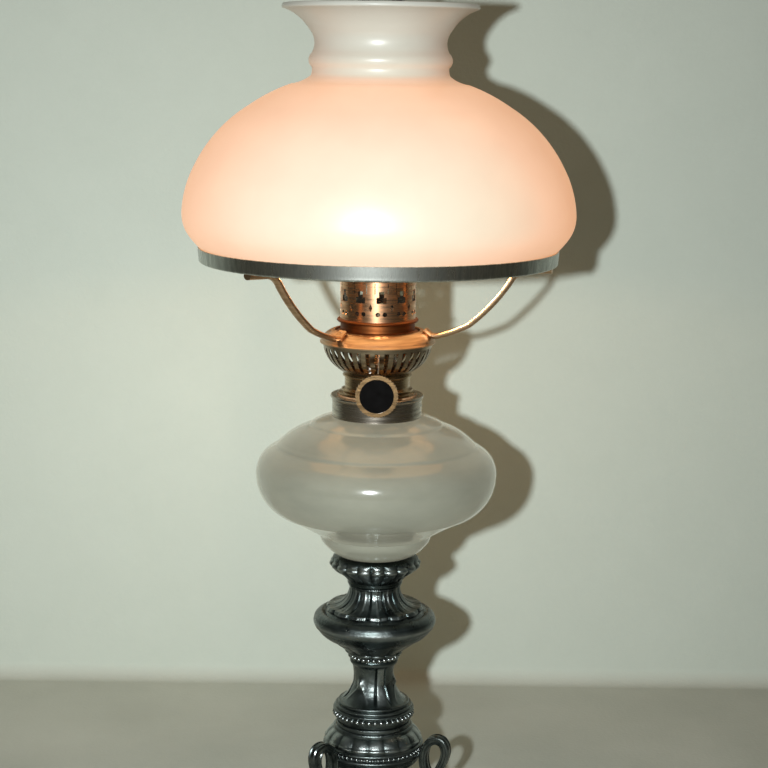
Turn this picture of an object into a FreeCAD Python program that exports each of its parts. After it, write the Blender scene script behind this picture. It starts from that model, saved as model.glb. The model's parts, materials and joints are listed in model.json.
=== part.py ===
import FreeCAD, Part
import math
import os
import Sketcher

# Paraffin table lamp: cast baluster stem, glass font, round-wick burner, opal shade on a ring.
# Millimetres. The origin is on the lamp's axis at the table, +Z up, the winding knob towards -Y.

# ---------------------------------------------------------------- driving dimensions
SIZES = {
    # stand
    "felt_thick": 1.5,
    "foot_radius": 76.0,
    "foot_land": 9.0,  # height of the flat land that the scroll brackets stand on
    "foot_roof": 34.0,  # underside of the foot's crown, where the nut bears
    "knop_low": 44.0,
    "stem_low": 88.0,
    "saucer_low": 131.0,
    "neck_low": 167.0,
    "cup_low": 184.5,
    "cup_floor": 188.0,
    "cup_rim": 205.5,
    "cup_bore": 14.5,
    "rod_radius": 4.0,
    "rod_bore": 4.2,
    "rod_low": 22.0,
    "nut_flats": 13.0,
    "nut_thick": 6.5,
    "crown_nut_thick": 4.0,
    "base_washer_radius": 12.0,
    "base_washer_thick": 2.0,
    "bracket_width": 9.0,
    "bracket_azimuth": 222.0,
    "brackets": 3,
    "bracket_screw_radius": 66.0,
    "screw_radius": 1.9,
    "screw_top": 12.5,
    "screw_seat": 5.0,  # underside of the foot's land
    "screw_head_radius": 3.5,
    "screw_head_thick": 2.2,
    "pin_radius": 1.5,
    "pin_height": 69.5,
    "pin_start": 30.0,
    "pin_end": 36.5,
    # font
    "peg_radius": 12.0,
    "peg_low": 193.2,
    "font_neck_radius": 24.5,
    "font_neck_bore": 20.8,
    "font_neck_top": 309.0,
    "collar_low": 300.8,
    "collar_inside": 28.9,
    "collar_top": 315.2,
    "collar_web": 313.8,
    # burner
    "thread_radius": 21.5,
    "thread_clearance": 0.08,
    "thread_low": 309.5,
    "thread_pitch": 1.5,
    "washer_thick": 0.8,
    "neck_bore": 20.7,
    "neck_top": 330.0,
    "basket_rim": 350.2,
    "basket_slots": 36,
    "gallery_floor": 366.4,
    "gallery_radius": 25.0,
    "gallery_sheet": 0.4,
    "gallery_top": 394.0,
    "gallery_repeats": 11,
    "gallery_phase": 5.5,
    "gallery_eye_radius": 1.5,
    "eye_left_x": -2.3,
    "eye_right_x": 2.3,
    "eye_height": 371.8,
    "outer_tube_radius": 12.6,
    "outer_tube_bore": 12.2,
    "inner_tube_radius": 9.8,
    "inner_tube_bore": 9.3,
    "wick_radius": 11.5,
    "wick_bore": 10.1,
    "wick_top": 372.4,
    "wick_low": 300.0,
    "wick_tail_low": 230.0,
    "carrier_radius": 11.9,
    "carrier_low": 326.0,
    "carrier_length": 14.0,
    "carrier_arm_left": -6.9,
    "carrier_arm_low": 330.5,
    "carrier_arm_side": 2.0,
    "carrier_arm_reach": 5.0,
    "tube_low": 318.0,
    "tube_high": 371.4,
    "seam_top": 355.0,
    "duct_width": 9.0,
    "duct_low": 334.0,
    "duct_height": 12.0,
    "duct_sheet": 0.5,
    "duct_end": 12.9,
    "air_tube_low": 331.0,
    "plate_hole_radius": 2.2,
    "plate_hole_circle": 18.4,
    "plate_holes": 16,
    "wick_gap": 10.6,  # seam of the wick, open round the air duct
    "past_wick": 20.0,  # reach of the cuts past the wick
    "over": 1.0,  # reach of a cut past the face that it opens
    # winding gear
    "shaft_height": 322.4,
    "shaft_radius": 1.5,
    "shaft_clearance": 0.05,
    "bushing_radius": 2.5,
    "tooth_pitch_radius": 4.8,
    "pinion_teeth": 12,
    "pinion_width": 3.0,
    "pinion_face": -15.2,  # y of the pinion's inner face
    "rack_teeth": 9,
    "rack_low": 313.4,
    "rack_high": 336.4,
    "rack_back": -7.2,
    "rack_root": -5.8,
    "rack_tip": -4.0,
    "shaft_inner_end": -12.95,
    "shaft_outer_end": -47.8,
    "bearing_radius": 2.5,
    "bearing_face": -14.9,
    "bearing_length": 4.0,
    "bushing_length": 4.0,
    "bushing_start": -24.2,
    "knob_radius": 13.8,
    "knob_disc_radius": 11.0,
    "knob_face": -49.5,
    "knob_depth": 4.6,
    "knob_hub_radius": 4.0,
    "knob_hub_depth": 7.6,
    "knob_recess": 1.6,
    "knob_disc_thick": 1.2,
    "notch_radius": 0.5,
    "notch_circle": 13.9,
    "knob_notches": 40,
    # shade holder, shade and chimney
    "seat_gap": 0.3,
    "arm_width": 6.5,
    "arm_azimuth": 226.0,
    "rivet_radius": 1.2,
    "rivet_head_radius": 2.1,
    "rivet_head_thick": 0.9,
    "seat_rivet_radius": 33.8,
    "ring_rivet_radius": 110.6,
    "seat_rivet_low": 356.4,
    "seat_rivet_length": 3.9,
    "ring_rivet_low": 402.6,
    "ring_rivet_length": 3.4,
    "ring_rivet_head": 402.1,
    "ring_radius": 119.2,
    "ring_top": 413.7,
    "ring_ledge": 406.0,
    "ring_sheet": 1.0,
    "shade_low": 406.3,
    "shade_rim": 568.3,
    "chimney_low": 366.8,
    "chimney_height": 254.5,
    "chimney_radius": 24.15,
}
SIZES["bore_of_collar"] = SIZES["thread_radius"] + SIZES["thread_clearance"]
SIZES["washer_top"] = SIZES["collar_top"] + SIZES["washer_thick"]
SIZES["bushing_bore"] = SIZES["shaft_radius"] + SIZES["shaft_clearance"]
SIZES["tooth_pitch"] = 2 * math.pi * SIZES["tooth_pitch_radius"] / SIZES["pinion_teeth"]
SIZES["screw_length"] = SIZES["screw_top"] - SIZES["screw_seat"]
SIZES["pin_length"] = SIZES["pin_end"] - SIZES["pin_start"]
SIZES["pinion_root"] = -SIZES["rack_tip"] - 0.2
SIZES["pinion_tip"] = -SIZES["rack_root"] - 0.2
SIZES["duct_left"] = -SIZES["duct_width"] / 2
SIZES["duct_right"] = SIZES["duct_width"] / 2
SIZES["duct_high"] = SIZES["duct_low"] + SIZES["duct_height"]
FIRST_TOOTH = SIZES["shaft_height"] - 3 * SIZES["tooth_pitch"]
SIZES["tooth_low"] = FIRST_TOOTH - 0.9
SIZES["tooth_tip_low"] = FIRST_TOOTH - 0.3
SIZES["tooth_tip_high"] = FIRST_TOOTH + 0.3
SIZES["tooth_high"] = FIRST_TOOTH + 0.9
for spot, radius, half_width in (
    ("a", SIZES["pinion_root"] - 0.3, -0.85),
    ("b", SIZES["pinion_tip"], -0.28),
    ("c", SIZES["pinion_tip"], 0.28),
    ("d", SIZES["pinion_root"] - 0.3, 0.85),
):
    lean = math.pi / SIZES["pinion_teeth"]
    SIZES[f"tooth_{spot}_x"] = radius * math.cos(lean) - half_width * math.sin(lean)
    SIZES[f"tooth_{spot}_y"] = radius * math.sin(lean) + half_width * math.cos(lean)
SIZES["washer_face"] = SIZES["foot_roof"] - SIZES["base_washer_thick"]
SIZES["rod_high"] = SIZES["cup_floor"] + SIZES["crown_nut_thick"]
SIZES["chimney_top"] = SIZES["chimney_low"] + SIZES["chimney_height"]
SIZES["air_tube_length"] = SIZES["tube_high"] - SIZES["air_tube_low"]
SIZES["wick_length"] = SIZES["wick_top"] - SIZES["wick_tail_low"]

# Outlines of the turned pieces, each a closed list of (radius, height, sagitta): radius and height are
# numbers or names from SIZES, and the sagitta bows the side that starts at that point, right of its way.
OUTLINES = {
    "base_felt": [
        (62, 0, 0),
        ("foot_radius", 0, 0),
        ("foot_radius", "felt_thick", 0),
        (62, "felt_thick", 0),
    ],
    "base_casting": [
        ("rod_bore", "foot_roof", 0),
        (20, "foot_roof", 0),
        (34, 24.5, 3.2),
        (56, 6.5, 0),
        (60, "screw_seat", 0),
        (70.5, "screw_seat", 0),
        (72.5, 3.5, 0),
        (72.5, "felt_thick", 0),
        ("foot_radius", "felt_thick", 0),
        ("foot_radius", 5.5, 1.2),
        (72, "foot_land", 0),
        (60, "foot_land", 0),
        (56.5, 11.6, -4.6),
        (31, 34, -0.9),
        (26.5, 40.5, 0),
        (26.5, "knop_low", 0),
        ("rod_bore", "knop_low", 0),
    ],
    "stem_knop": [
        ("rod_bore", "knop_low", 0),
        (24, "knop_low", 0),
        (24, 46.5, -0.8),
        (20.2, 51, -1.2),
        (27.5, 58.5, 1.2),
        (33, 64.5, 0),
        (33.8, 66, 0.5),
        (33.8, 68.8, 0),
        (33, 70.5, 0.9),
        (33.6, 73.5, 1.9),
        (27.2, 82.6, 0),
        (27.2, 84.8, 0),
        (25.2, 85.6, 0),
        (24.6, "stem_low", 0),
        ("rod_bore", "stem_low", 0),
    ],
    "lower_stem": [
        ("rod_bore", "stem_low", 0),
        (24.2, "stem_low", 0),
        (26.2, 91.5, 1.6),
        (28.4, 96, 2.6),
        (23.6, 102.5, -0.4),
        (17, 108.5, -1.2),
        (13.4, 117.5, -0.7),
        (14.6, 128, 0),
        (16.4, "saucer_low", 0),
        ("rod_bore", "saucer_low", 0),
    ],
    "drip_saucer": [
        ("rod_bore", "saucer_low", 0),
        (16.4, "saucer_low", 0),
        (17.6, 132.4, 1.7),
        (19, 137.2, 0),
        (30.4, 147, 1.2),
        (40.2, 155.6, 0.7),
        (41.3, 160.2, 1.6),
        (36.4, 166, 0),
        (34.4, 165.2, 0),
        (31, "neck_low", 0),
        ("rod_bore", "neck_low", 0),
    ],
    "upper_stem": [
        ("rod_bore", "neck_low", 0),
        (32.6, "neck_low", 0.9),
        (31.6, 169.8, -3.4),
        (17.2, 180.4, 0),
        (17.4, "cup_low", 0),
        ("rod_bore", "cup_low", 0),
    ],
    "crown_cup": [
        ("rod_bore", "cup_low", 0),
        (17.4, "cup_low", 1.0),
        (18.6, 187.4, -0.7),
        (24.4, 193.4, 0.6),
        (29.6, 197.6, 1.0),
        (29.2, 200.9, 1.2),
        (24.6, "cup_rim", 0),
        ("cup_bore", "cup_rim", 0),
        ("cup_bore", "cup_floor", 0),
        ("rod_bore", "cup_floor", 0),
    ],
    "font_plaster": [
        ("peg_radius", "peg_low", 0),
        ("cup_bore", "peg_low", 0),
        ("cup_bore", "cup_rim", 0),
        ("peg_radius", "cup_rim", 0),
    ],
    "font_glass": [
        (0, "peg_low", 0),
        ("peg_radius", "peg_low", 0),
        ("peg_radius", "cup_rim", 0),
        (24.4, "cup_rim", 1.0),
        (34.4, 213, 1.0),
        (37.6, 219.8, 0),
        (38.8, 220.6, -0.6),
        (66.5, 236, 3.4),
        (80.5, 259.5, 2.0),
        (75, 275.6, 0),
        (67.2, 280.6, 0.3),
        (64.6, 283.4, 1.0),
        (49.4, 292.8, 0),
        (44.4, 294.8, 0),
        (42.6, 296.6, 0.6),
        (29.9, "collar_low", 0),
        ("font_neck_radius", "collar_low", 0),
        ("font_neck_radius", "font_neck_top", 0),
        ("font_neck_bore", "font_neck_top", 0),
        ("font_neck_bore", 300, 0),
        (38.6, 294.4, 0),
        (60.4, 281.6, 0),
        (71, 273.4, -1.8),
        (76.4, 259.5, -2.9),
        (63.6, 238.6, -0.6),
        (37, 224.6, 0),
        (30, 214.4, 0),
        (0, 211.5, 0),
    ],
    "collar_plaster": [
        ("font_neck_radius", "collar_low", 0),
        ("collar_inside", "collar_low", 0),
        ("collar_inside", "font_neck_top", 0),
        ("font_neck_radius", "font_neck_top", 0),
    ],
    "font_collar": [
        ("bore_of_collar", "thread_low", 0),
        (22.9, "thread_low", 0),
        (22.9, "collar_web", 0),
        ("collar_inside", "collar_web", 0),
        ("collar_inside", "collar_low", 0),
        (29.9, "collar_low", 0),
        (29.9, 312.4, 0),
        (30.9, 313.5, 0.3),
        (30.6, "collar_top", 0),
        ("bore_of_collar", "collar_top", 0),
    ],
    "seal_washer": [
        (22.2, "collar_top", 0),
        (26.4, "collar_top", 0),
        (26.4, "washer_top", 0),
        (22.2, "washer_top", 0),
    ],
    "burner_base": [
        (20.3, "thread_low", 0),
        ("thread_radius", "thread_low", 0),
        ("thread_radius", "washer_top", 0),
        (26, "washer_top", 0),
        (26, 317.2, 0),
        (23.4, 318.2, 0.5),
        (23.2, 319.6, 0),
        (21.6, 320.4, 0),
        (21.6, 327.4, 0),
        (22.5, 328, 0.5),
        (22.5, 329.4, 0),
        (21.7, "neck_top", 0),
        ("neck_bore", "neck_top", 0),
        ("neck_bore", "washer_top", 0),
        (20.3, "washer_top", 0),
    ],
    "air_basket": [
        ("neck_bore", "neck_top", 0),
        (21.7, "neck_top", 0.3),
        (30.4, 336.6, 0.9),
        (36, 348, 0),
        (36.5, "basket_rim", 0),
        (35.8, "basket_rim", 0),
        (35.3, 348.2, -0.9),
        (29.9, 337.2, -0.3),
        (21.4, 330.8, 0),
        ("neck_bore", 330.8, 0),
    ],
    "burner_deck": [
        (33.4, "basket_rim", 0),
        (36.5, "basket_rim", 0),
        (36.5, 351.2, 1.1),
        (28, 357.6, 0),
        (24.7, 359.2, 0),
        (24.7, 364, 0),
        (26.3, 364.4, 0),
        (27.1, 365.2, 0.2),
        (26.4, "gallery_floor", 0),
        (24, "gallery_floor", 0),
        (24, 358.6, 0),
        (27.4, 356.9, -1.0),
        (33.4, 352.6, 0),
    ],
    "air_plate": [
        ("outer_tube_radius", 365.4, 0),
        (24, 365.4, 0),
        (24, "gallery_floor", 0),
        ("outer_tube_radius", "gallery_floor", 0),
    ],
    "chimney_gallery": [
        (24, "gallery_floor", 0),
        ("gallery_radius", "gallery_floor", 0),
        ("gallery_radius", "gallery_top", 0),
        (24.6, "gallery_top", 0),
        (24.6, 366.8, 0),
        (24, 366.8, 0),
    ],
    "holder_seat": [
        (28.1, 358, -1.2),
        (36.9, 351.6, 0),
        (36.9, 350.6, 0),
        (38.2, 350.3, 0),
        (38.4, 351, 0),
        (37.6, 352.2, 1.2),
        (29.4, 359, 0),
        (28.2, 359, 0),
    ],
    "shade_ring": [
        (108.5, 405, 0),
        (114.7, 405, 0.9),
        (118.5, 408.6, 0),
        ("ring_radius", "ring_top", 0),
        (118.2, "ring_top", 0),
        (117.5, 409, -0.9),
        (113.4, "ring_ledge", 0),
        (108.5, "ring_ledge", 0),
    ],
    "shade_glass": [
        (112.4, "shade_low", 0),
        (114.8, "shade_low", 0),
        (116.8, 412.8, 0.5),
        (125.8, 423.5, 1.1),
        (128.8, 437.6, 1.6),
        (120.4, 466.5, 3.7),
        (84.9, 505.3, 1.0),
        (57.6, 519.2, -1.0),
        (45.2, 524.6, -0.3),
        (44.4, 529.6, 2.3),
        (44.4, 539.2, -2.3),
        (46.1, 553.7, -1.9),
        (62.8, 567.0, 0.7),
        (63.6, "shade_rim", 0.8),
        (61.6, 570, 1.9),
        (44.2, 555, 1.7),
        (42.0, 538.6, -0.4),
        (42.0, 525, 1.2),
        (56.4, 516.4, -1.0),
        (83.2, 502.2, -3.7),
        (117.4, 465.4, -1.5),
        (125.6, 437.6, -1.0),
        (122.8, 425.4, -0.8),
    ],
    "chimney_glass": [
        (22.6, "chimney_low", 0),
        ("chimney_radius", "chimney_low", 0),
        ("chimney_radius", 414, 0.9),
        (21, 426, 0),
        (17.6, 432.4, -0.8),
        (15.4, 442, 0),
        (15.2, "chimney_top", 0),
        (13.7, "chimney_top", 0),
        (13.9, 442, 0.8),
        (16.3, 431.8, 0),
        (19.5, 425.6, -0.8),
        (22.6, 413.6, 0),
    ],
    "outer_wick_tube": [
        ("outer_tube_bore", "tube_low", 0),
        ("outer_tube_radius", "tube_low", 0),
        ("outer_tube_radius", "tube_high", 0),
        ("outer_tube_bore", "tube_high", 0),
    ],
    "base_washer": [
        ("rod_bore", "washer_face", 0),
        ("base_washer_radius", "washer_face", 0),
        ("base_washer_radius", "foot_roof", 0),
        ("rod_bore", "foot_roof", 0),
    ],
    "tie_rod": [
        (0, "rod_low", 0),
        (3.4, "rod_low", 0),
        ("rod_radius", 22.6, 0),
        ("rod_radius", "rod_high", 0),
        (0, "rod_high", 0),
    ],
}

# Side views (distance from the axis, height, sagitta) of the flat pieces that stand round the axis.
BRACKET_OUTLINE = [
    (71, "foot_land", 0.9),
    (70.6, 14.4, 1.0),
    (64.4, 18.6, -1.6),
    (49.6, 47.6, 0),
    (51, 57, -0.4),
    (56, 72, 6.0),
    (45.2, 83.2, 2.9),
    (34.4, 73.4, 0),
    (34.7, 61, -0.6),
    (40.8, 38, 1.6),
    (61, "foot_land", 0),
]
BRACKET_EYE = [
    (43, 59.5, 0.4),
    (49.6, 70.4, 4.2),
    (44.6, 76.6, 2.4),
    (40.4, 71, 0),
]
ARM_OUTLINE = [
    (31.4, 359.3, 0),
    (36.6, 355.5, 0),
    (40.8, 355.6, 0.6),
    (62, 363.8, 1.6),
    (92.4, 394.4, -1.6),
    (103, 403, 0),
    (115.5, 403, 0),
    (115.5, 405, 0),
    (102.4, 405, 1.6),
    (90.8, 395.8, -1.6),
    (60.9, 365.6, -0.6),
    (40.6, 357.5, 0),
    (37.2, 357.5, 0),
    (32.5, 360.9, 0),
]

# Openings and teeth, drawn the same way in their own sketches.
SHAPES = {
    "scroll": BRACKET_OUTLINE,
    "scroll_eye": BRACKET_EYE,
    "arm": ARM_OUTLINE,
    "slot": [(-1, 333.6, 0), (1, 333.6, 0), (1.6, 347.6, 0), (-1.6, 347.6, 0)],
    "window": [
        (-3.3, 379, 0),
        (3.3, 379, 0),
        (3.3, 383, 0),
        (1.7, 383, 0),
        (1.7, 386.8, 0),
        (-1.7, 386.8, 0),
        (-1.7, 383, 0),
        (-3.3, 383, 0),
    ],
    "lozenge": [(7, 373.4, 0), (8.2, 376, 0), (7, 378.6, 0), (5.8, 376, 0)],
    "slit_left": [(-4.55, 385, 0), (-4.05, 385, 0), (-4.05, 392, 0), (-4.55, 392, 0)],
    "slit_right": [(4.05, 385, 0), (4.55, 385, 0), (4.55, 392, 0), (4.05, 392, 0)],
    "arm_slot": [(-7.5, 322, 0), (-4.3, 322, 0), (-4.3, 337, 0), (-7.5, 337, 0)],
    "duct_window": [
        ("duct_left", "duct_low", 0),
        ("duct_right", "duct_low", 0),
        ("duct_right", "duct_high", 0),
        ("duct_left", "duct_high", 0),
    ],
    "rack_bar": [
        ("rack_back", "rack_low", 0),
        ("rack_root", "rack_low", 0),
        ("rack_root", "rack_high", 0),
        ("rack_back", "rack_high", 0),
    ],
    "rack_tooth": [
        (-6.1, "tooth_low", 0),
        ("rack_root", "tooth_low", 0),
        ("rack_tip", "tooth_tip_low", 0),
        ("rack_tip", "tooth_tip_high", 0),
        ("rack_root", "tooth_high", 0),
        (-6.1, "tooth_high", 0),
    ],
    "pinion_tooth": [
        ("tooth_a_x", "tooth_a_y", 0),
        ("tooth_b_x", "tooth_b_y", 0),
        ("tooth_c_x", "tooth_c_y", 0),
        ("tooth_d_x", "tooth_d_y", 0),
    ],
}

# ---------------------------------------------------------------- the document
doc = FreeCAD.newDocument("paraffin_lamp")
sheet = doc.addObject("Spreadsheet::Sheet", "Sizes")
NODES = []
Z = FreeCAD.Vector(0, 0, 1)


def sagitta_radius(start, end, sagitta):
    """Radius of the arc from start to end that bows by the sagitta."""
    half = math.dist(start, end) / 2
    return (half**2 + sagitta**2) / (2 * abs(sagitta))


def corner(point):
    """The two numbers of an outline's point."""
    return tuple(SIZES[v] if isinstance(v, str) else float(v) for v in point[:2])


def fill_sheet():
    """Writes SIZES and every outline's own numbers to the sheet, each under its alias."""
    cells = dict(SIZES)
    for name, outline in dict(OUTLINES, **SHAPES).items():
        for i, point in enumerate(outline):
            for letter, value in zip("rz", point):
                if not isinstance(value, str):
                    cells[f"{name}_{letter}_{i}"] = value
            if point[2]:
                after = outline[(i + 1) % len(outline)]
                radius = sagitta_radius(corner(point), corner(after), point[2])
                cells[f"{name}_arc_{i}"] = radius
    for row, (alias, value) in enumerate(cells.items(), 1):
        sheet.set(f"A{row}", alias)
        sheet.set(f"B{row}", f"{value:.6g}")
        sheet.setAlias(f"B{row}", alias)
    doc.recompute()


def origin_part(body, role):
    """The body's own axis or plane of that role."""
    return next(o for o in body.Origin.OriginFeatures if o.Role == role)


def new_body(label):
    body = doc.addObject("PartDesign::Body", label)
    body.Label = label
    NODES.append(body)
    return body


def new_sketch(body, plane, name):
    sketch = body.newObject("Sketcher::SketchObject", f"{body.Label}_{name}")
    sketch.AttachmentSupport = (origin_part(body, plane), [""])
    sketch.MapMode = "FlatFace"
    return sketch


def bind(sketch, constraint, name, alias):
    """Adds a constraint and ties it to a cell."""
    index = sketch.addConstraint(constraint)
    sketch.renameConstraint(index, name)
    sketch.setExpression(f"Constraints.{name}", f"Sizes.{alias}")


def draw_outline(sketch, name, outline):
    """Draws a closed outline of lines and arcs, each corner and arc tied to its cells."""
    corners = [FreeCAD.Vector(*corner(p), 0) for p in outline]
    ends = []
    for i, point in enumerate(outline):
        start = corners[i]
        end = corners[(i + 1) % len(outline)]
        if not point[2]:
            ends.append((sketch.addGeometry(Part.LineSegment(start, end), False), 1, 2))
            continue
        along = (end - start).normalize()
        middle = (start + end) / 2 + FreeCAD.Vector(along.y, -along.x, 0) * point[2]
        if point[2] > 0:
            ends.append((sketch.addGeometry(Part.Arc(start, middle, end), False), 1, 2))
        else:
            ends.append((sketch.addGeometry(Part.Arc(end, middle, start), False), 2, 1))
    for i, point in enumerate(outline):
        geometry, first, _ = ends[i]
        before, _, last = ends[i - 1]
        sketch.addConstraint(Sketcher.Constraint("Coincident", before, last, geometry, first))
        for letter, value, kind, axis in zip("rz", point, ("DistanceX", "DistanceY"), (-2, -1)):
            if value == 0:
                sketch.addConstraint(Sketcher.Constraint("PointOnObject", geometry, first, axis))
                continue
            alias = value if isinstance(value, str) else f"{name}_{letter}_{i}"
            size = SIZES[value] if isinstance(value, str) else float(value)
            fixed = Sketcher.Constraint(kind, -1, 1, geometry, first, size)
            bind(sketch, fixed, f"{name}_{letter}_{i}", alias)
        if point[2]:
            radius = sketch.Geometry[geometry].Radius
            rounded = Sketcher.Constraint("Radius", geometry, radius)
            bind(sketch, rounded, f"{name}_arc_{i}", f"{name}_arc_{i}")


def finish(feature):
    """Recomputes the document and stops if the feature didn't build."""
    doc.recompute()
    if "Invalid" in feature.State or "Error" in feature.State or feature.Shape.isNull():
        raise RuntimeError(f"{feature.Label} didn't build: {feature.State}")
    return feature


def turned(label):
    """A body turned from its outline about the lamp's axis."""
    body = new_body(label)
    sketch = new_sketch(body, "XZ_Plane", "outline")
    draw_outline(sketch, label, OUTLINES[label])
    turn = body.newObject("PartDesign::Revolution", f"{label}_turn")
    turn.Profile = sketch
    turn.ReferenceAxis = (sketch, ["V_Axis"])
    turn.Angle = 360
    finish(turn)
    return body


def circle(sketch, tag, x_alias, y_alias, radius_alias):
    """A circle tied to cells; a centre's alias is None where it lies on an axis of the sketch."""
    x, y = (SIZES[v] if v else 0.0 for v in (x_alias, y_alias))
    radius = SIZES[radius_alias]
    ring = Part.Circle(FreeCAD.Vector(x, y, 0), FreeCAD.Vector(0, 0, 1), radius)
    index = sketch.addGeometry(ring, False)
    bind(sketch, Sketcher.Constraint("Radius", index, radius), f"{tag}_radius", radius_alias)
    for alias, kind, value, axis in (
        (x_alias, "DistanceX", x, -2),
        (y_alias, "DistanceY", y, -1),
    ):
        if alias:
            fixed = Sketcher.Constraint(kind, -1, 1, index, 3, value)
            bind(sketch, fixed, f"{tag}_{kind}", alias)
        else:
            sketch.addConstraint(Sketcher.Constraint("PointOnObject", index, 3, axis))


def pad(body, sketch, name, length_alias, symmetric=False, back=False):
    feature = body.newObject("PartDesign::Pad", f"{body.Label}_{name}")
    feature.Profile = sketch
    feature.setExpression("Length", f"Sizes.{length_alias}")
    feature.Midplane = symmetric
    feature.Reversed = back
    return finish(feature)


def pocket(body, sketch, name, front=True):
    """Cuts the sketch through the front wall only, or through the back one, and checks that it cut."""
    before = body.Shape.Volume
    feature = body.newObject("PartDesign::Pocket", f"{body.Label}_{name}")
    feature.Profile = sketch
    feature.Type = 1
    feature.Reversed = front
    finish(feature)
    if not feature.Shape.Volume < before - 1e-3:
        raise RuntimeError(f"{feature.Label} cut nothing")
    return feature


def repeat(body, feature, name, axis, count_alias):
    """Repeats a feature evenly round one of the body's axes."""
    pattern = body.newObject("PartDesign::PolarPattern", f"{body.Label}_{name}")
    pattern.Originals = [feature]
    pattern.Axis = (origin_part(body, axis), [""])
    pattern.Angle = 360
    pattern.setExpression("Occurrences", f"Sizes.{count_alias}")
    body.Tip = pattern
    return finish(pattern)


def turn_to(body, azimuth_alias, step):
    """Turns a body about the lamp's axis to the azimuth plus that many thirds of a turn."""
    body.Placement = FreeCAD.Placement(FreeCAD.Vector(), FreeCAD.Rotation(Z, 30))
    body.setExpression("Placement.Rotation.Angle", f"Sizes.{azimuth_alias} + {120 * step}")
    doc.recompute()


# ---------------------------------------------------------------- stand
def scroll_bracket(number):
    body = new_body(f"scroll_bracket_{number}")
    sketch = new_sketch(body, "XZ_Plane", "scroll")
    draw_outline(sketch, "scroll", BRACKET_OUTLINE)
    solid = pad(body, sketch, "band", "bracket_width", symmetric=True)
    eye = new_sketch(body, "XZ_Plane", "eye")
    draw_outline(eye, "scroll_eye", BRACKET_EYE)
    hole = body.newObject("PartDesign::Pocket", f"{body.Label}_hole")
    hole.Profile = eye
    hole.Type = 1
    hole.Midplane = True
    finish(hole)
    if hole.Shape.Volume >= solid.Shape.Volume:
        raise RuntimeError("the scroll's eye cut nothing")
    fastener_hole(body, "screw", "XY_Plane", "bracket_screw_radius", None, "screw_radius", "screw_top")
    fastener_hole(body, "pin", "YZ_Plane", None, "pin_height", "pin_radius", "pin_end")
    turn_to(body, "bracket_azimuth", number - 1)


def fastener_hole(body, tag, plane, x_alias, y_alias, radius_alias, depth_alias):
    """A round hole from one of the body's planes to that depth, checked to have cut."""
    before = body.Shape.Volume
    sketch = new_sketch(body, plane, tag)
    circle(sketch, tag, x_alias, y_alias, radius_alias)
    cut = body.newObject("PartDesign::Pocket", f"{body.Label}_{tag}_cut")
    cut.Profile = sketch
    cut.Reversed = True
    cut.setExpression("Length", f"Sizes.{depth_alias}")
    finish(cut)
    if not cut.Shape.Volume < before - 1e-3:
        raise RuntimeError(f"{cut.Label} cut nothing")
    return cut


def stand_holes(foot, knop):
    """The screws' holes in the foot and the dowels' holes in the knop, both turned to the brackets."""
    screw = ("XY_Plane", "bracket_screw_radius", None, "screw_radius", "screw_top")
    repeat(foot, fastener_hole(foot, "screw", *screw), "screws", "Z_Axis", "brackets")
    turn_to(foot, "bracket_azimuth", 0)
    knop_pin = fastener_hole(knop, "pin", "YZ_Plane", None, "pin_height", "pin_radius", "pin_end")
    repeat(knop, knop_pin, "pins", "Z_Axis", "brackets")
    turn_to(knop, "bracket_azimuth", 0)


def nut(label, low_expression, thick_alias):
    """A hexagon nut with the tie rod's bore."""
    hexagon = doc.addObject("Part::Prism", f"{label}_hexagon")
    hexagon.Polygon = 6
    hexagon.setExpression("Circumradius", "Sizes.nut_flats / sqrt(3)")
    hexagon.setExpression("Height", f"Sizes.{thick_alias}")
    hexagon.setExpression("Placement.Base.z", low_expression)
    bore = doc.addObject("Part::Cylinder", f"{label}_bore")
    bore.setExpression("Radius", "Sizes.rod_radius")
    bore.setExpression("Height", f"Sizes.{thick_alias}")
    bore.setExpression("Placement.Base.z", low_expression)
    cut = doc.addObject("Part::Cut", label)
    cut.Base = hexagon
    cut.Tool = bore
    finish(cut)
    NODES.append(cut)


def round_the_axis(label, piece, azimuth_alias):
    """Three copies of a piece, a third of a turn apart, as separate solids of one node."""
    copies = []
    for step in range(3):
        link = doc.addObject("Part::Feature", f"{label}_{step + 1}")
        angle = float(sheet.get(azimuth_alias)) + 120 * step
        shape = piece.Shape.copy()
        shape.rotate(FreeCAD.Vector(), Z, angle)
        link.Shape = shape
        copies.append(link)
    group = doc.addObject("Part::Compound", label)
    group.Links = copies
    finish(group)
    NODES.append(group)


def bracket_screws():
    shank = doc.addObject("Part::Cylinder", "screw_shank")
    shank.setExpression("Radius", "Sizes.screw_radius")
    shank.setExpression("Height", "Sizes.screw_length")
    shank.setExpression("Placement.Base.x", "Sizes.bracket_screw_radius")
    shank.setExpression("Placement.Base.z", "Sizes.screw_seat")
    head = doc.addObject("Part::Cylinder", "screw_head")
    head.setExpression("Radius", "Sizes.screw_head_radius")
    head.setExpression("Height", "Sizes.screw_head_thick")
    head.setExpression("Placement.Base.x", "Sizes.bracket_screw_radius")
    head.setExpression("Placement.Base.z", "Sizes.screw_seat - Sizes.screw_head_thick")
    screw = doc.addObject("Part::Fuse", "screw")
    screw.Base = head
    screw.Tool = shank
    finish(screw)
    round_the_axis("bracket_screws", screw, "bracket_azimuth")


def bracket_pins():
    pin = doc.addObject("Part::Cylinder", "pin")
    along_x = FreeCAD.Rotation(FreeCAD.Vector(0, 1, 0), 90)
    pin.Placement = FreeCAD.Placement(FreeCAD.Vector(), along_x)
    pin.setExpression("Radius", "Sizes.pin_radius")
    pin.setExpression("Height", "Sizes.pin_length")
    pin.setExpression("Placement.Base.x", "Sizes.pin_start")
    pin.setExpression("Placement.Base.z", "Sizes.pin_height")
    finish(pin)
    round_the_axis("bracket_pins", pin, "bracket_azimuth")


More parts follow.
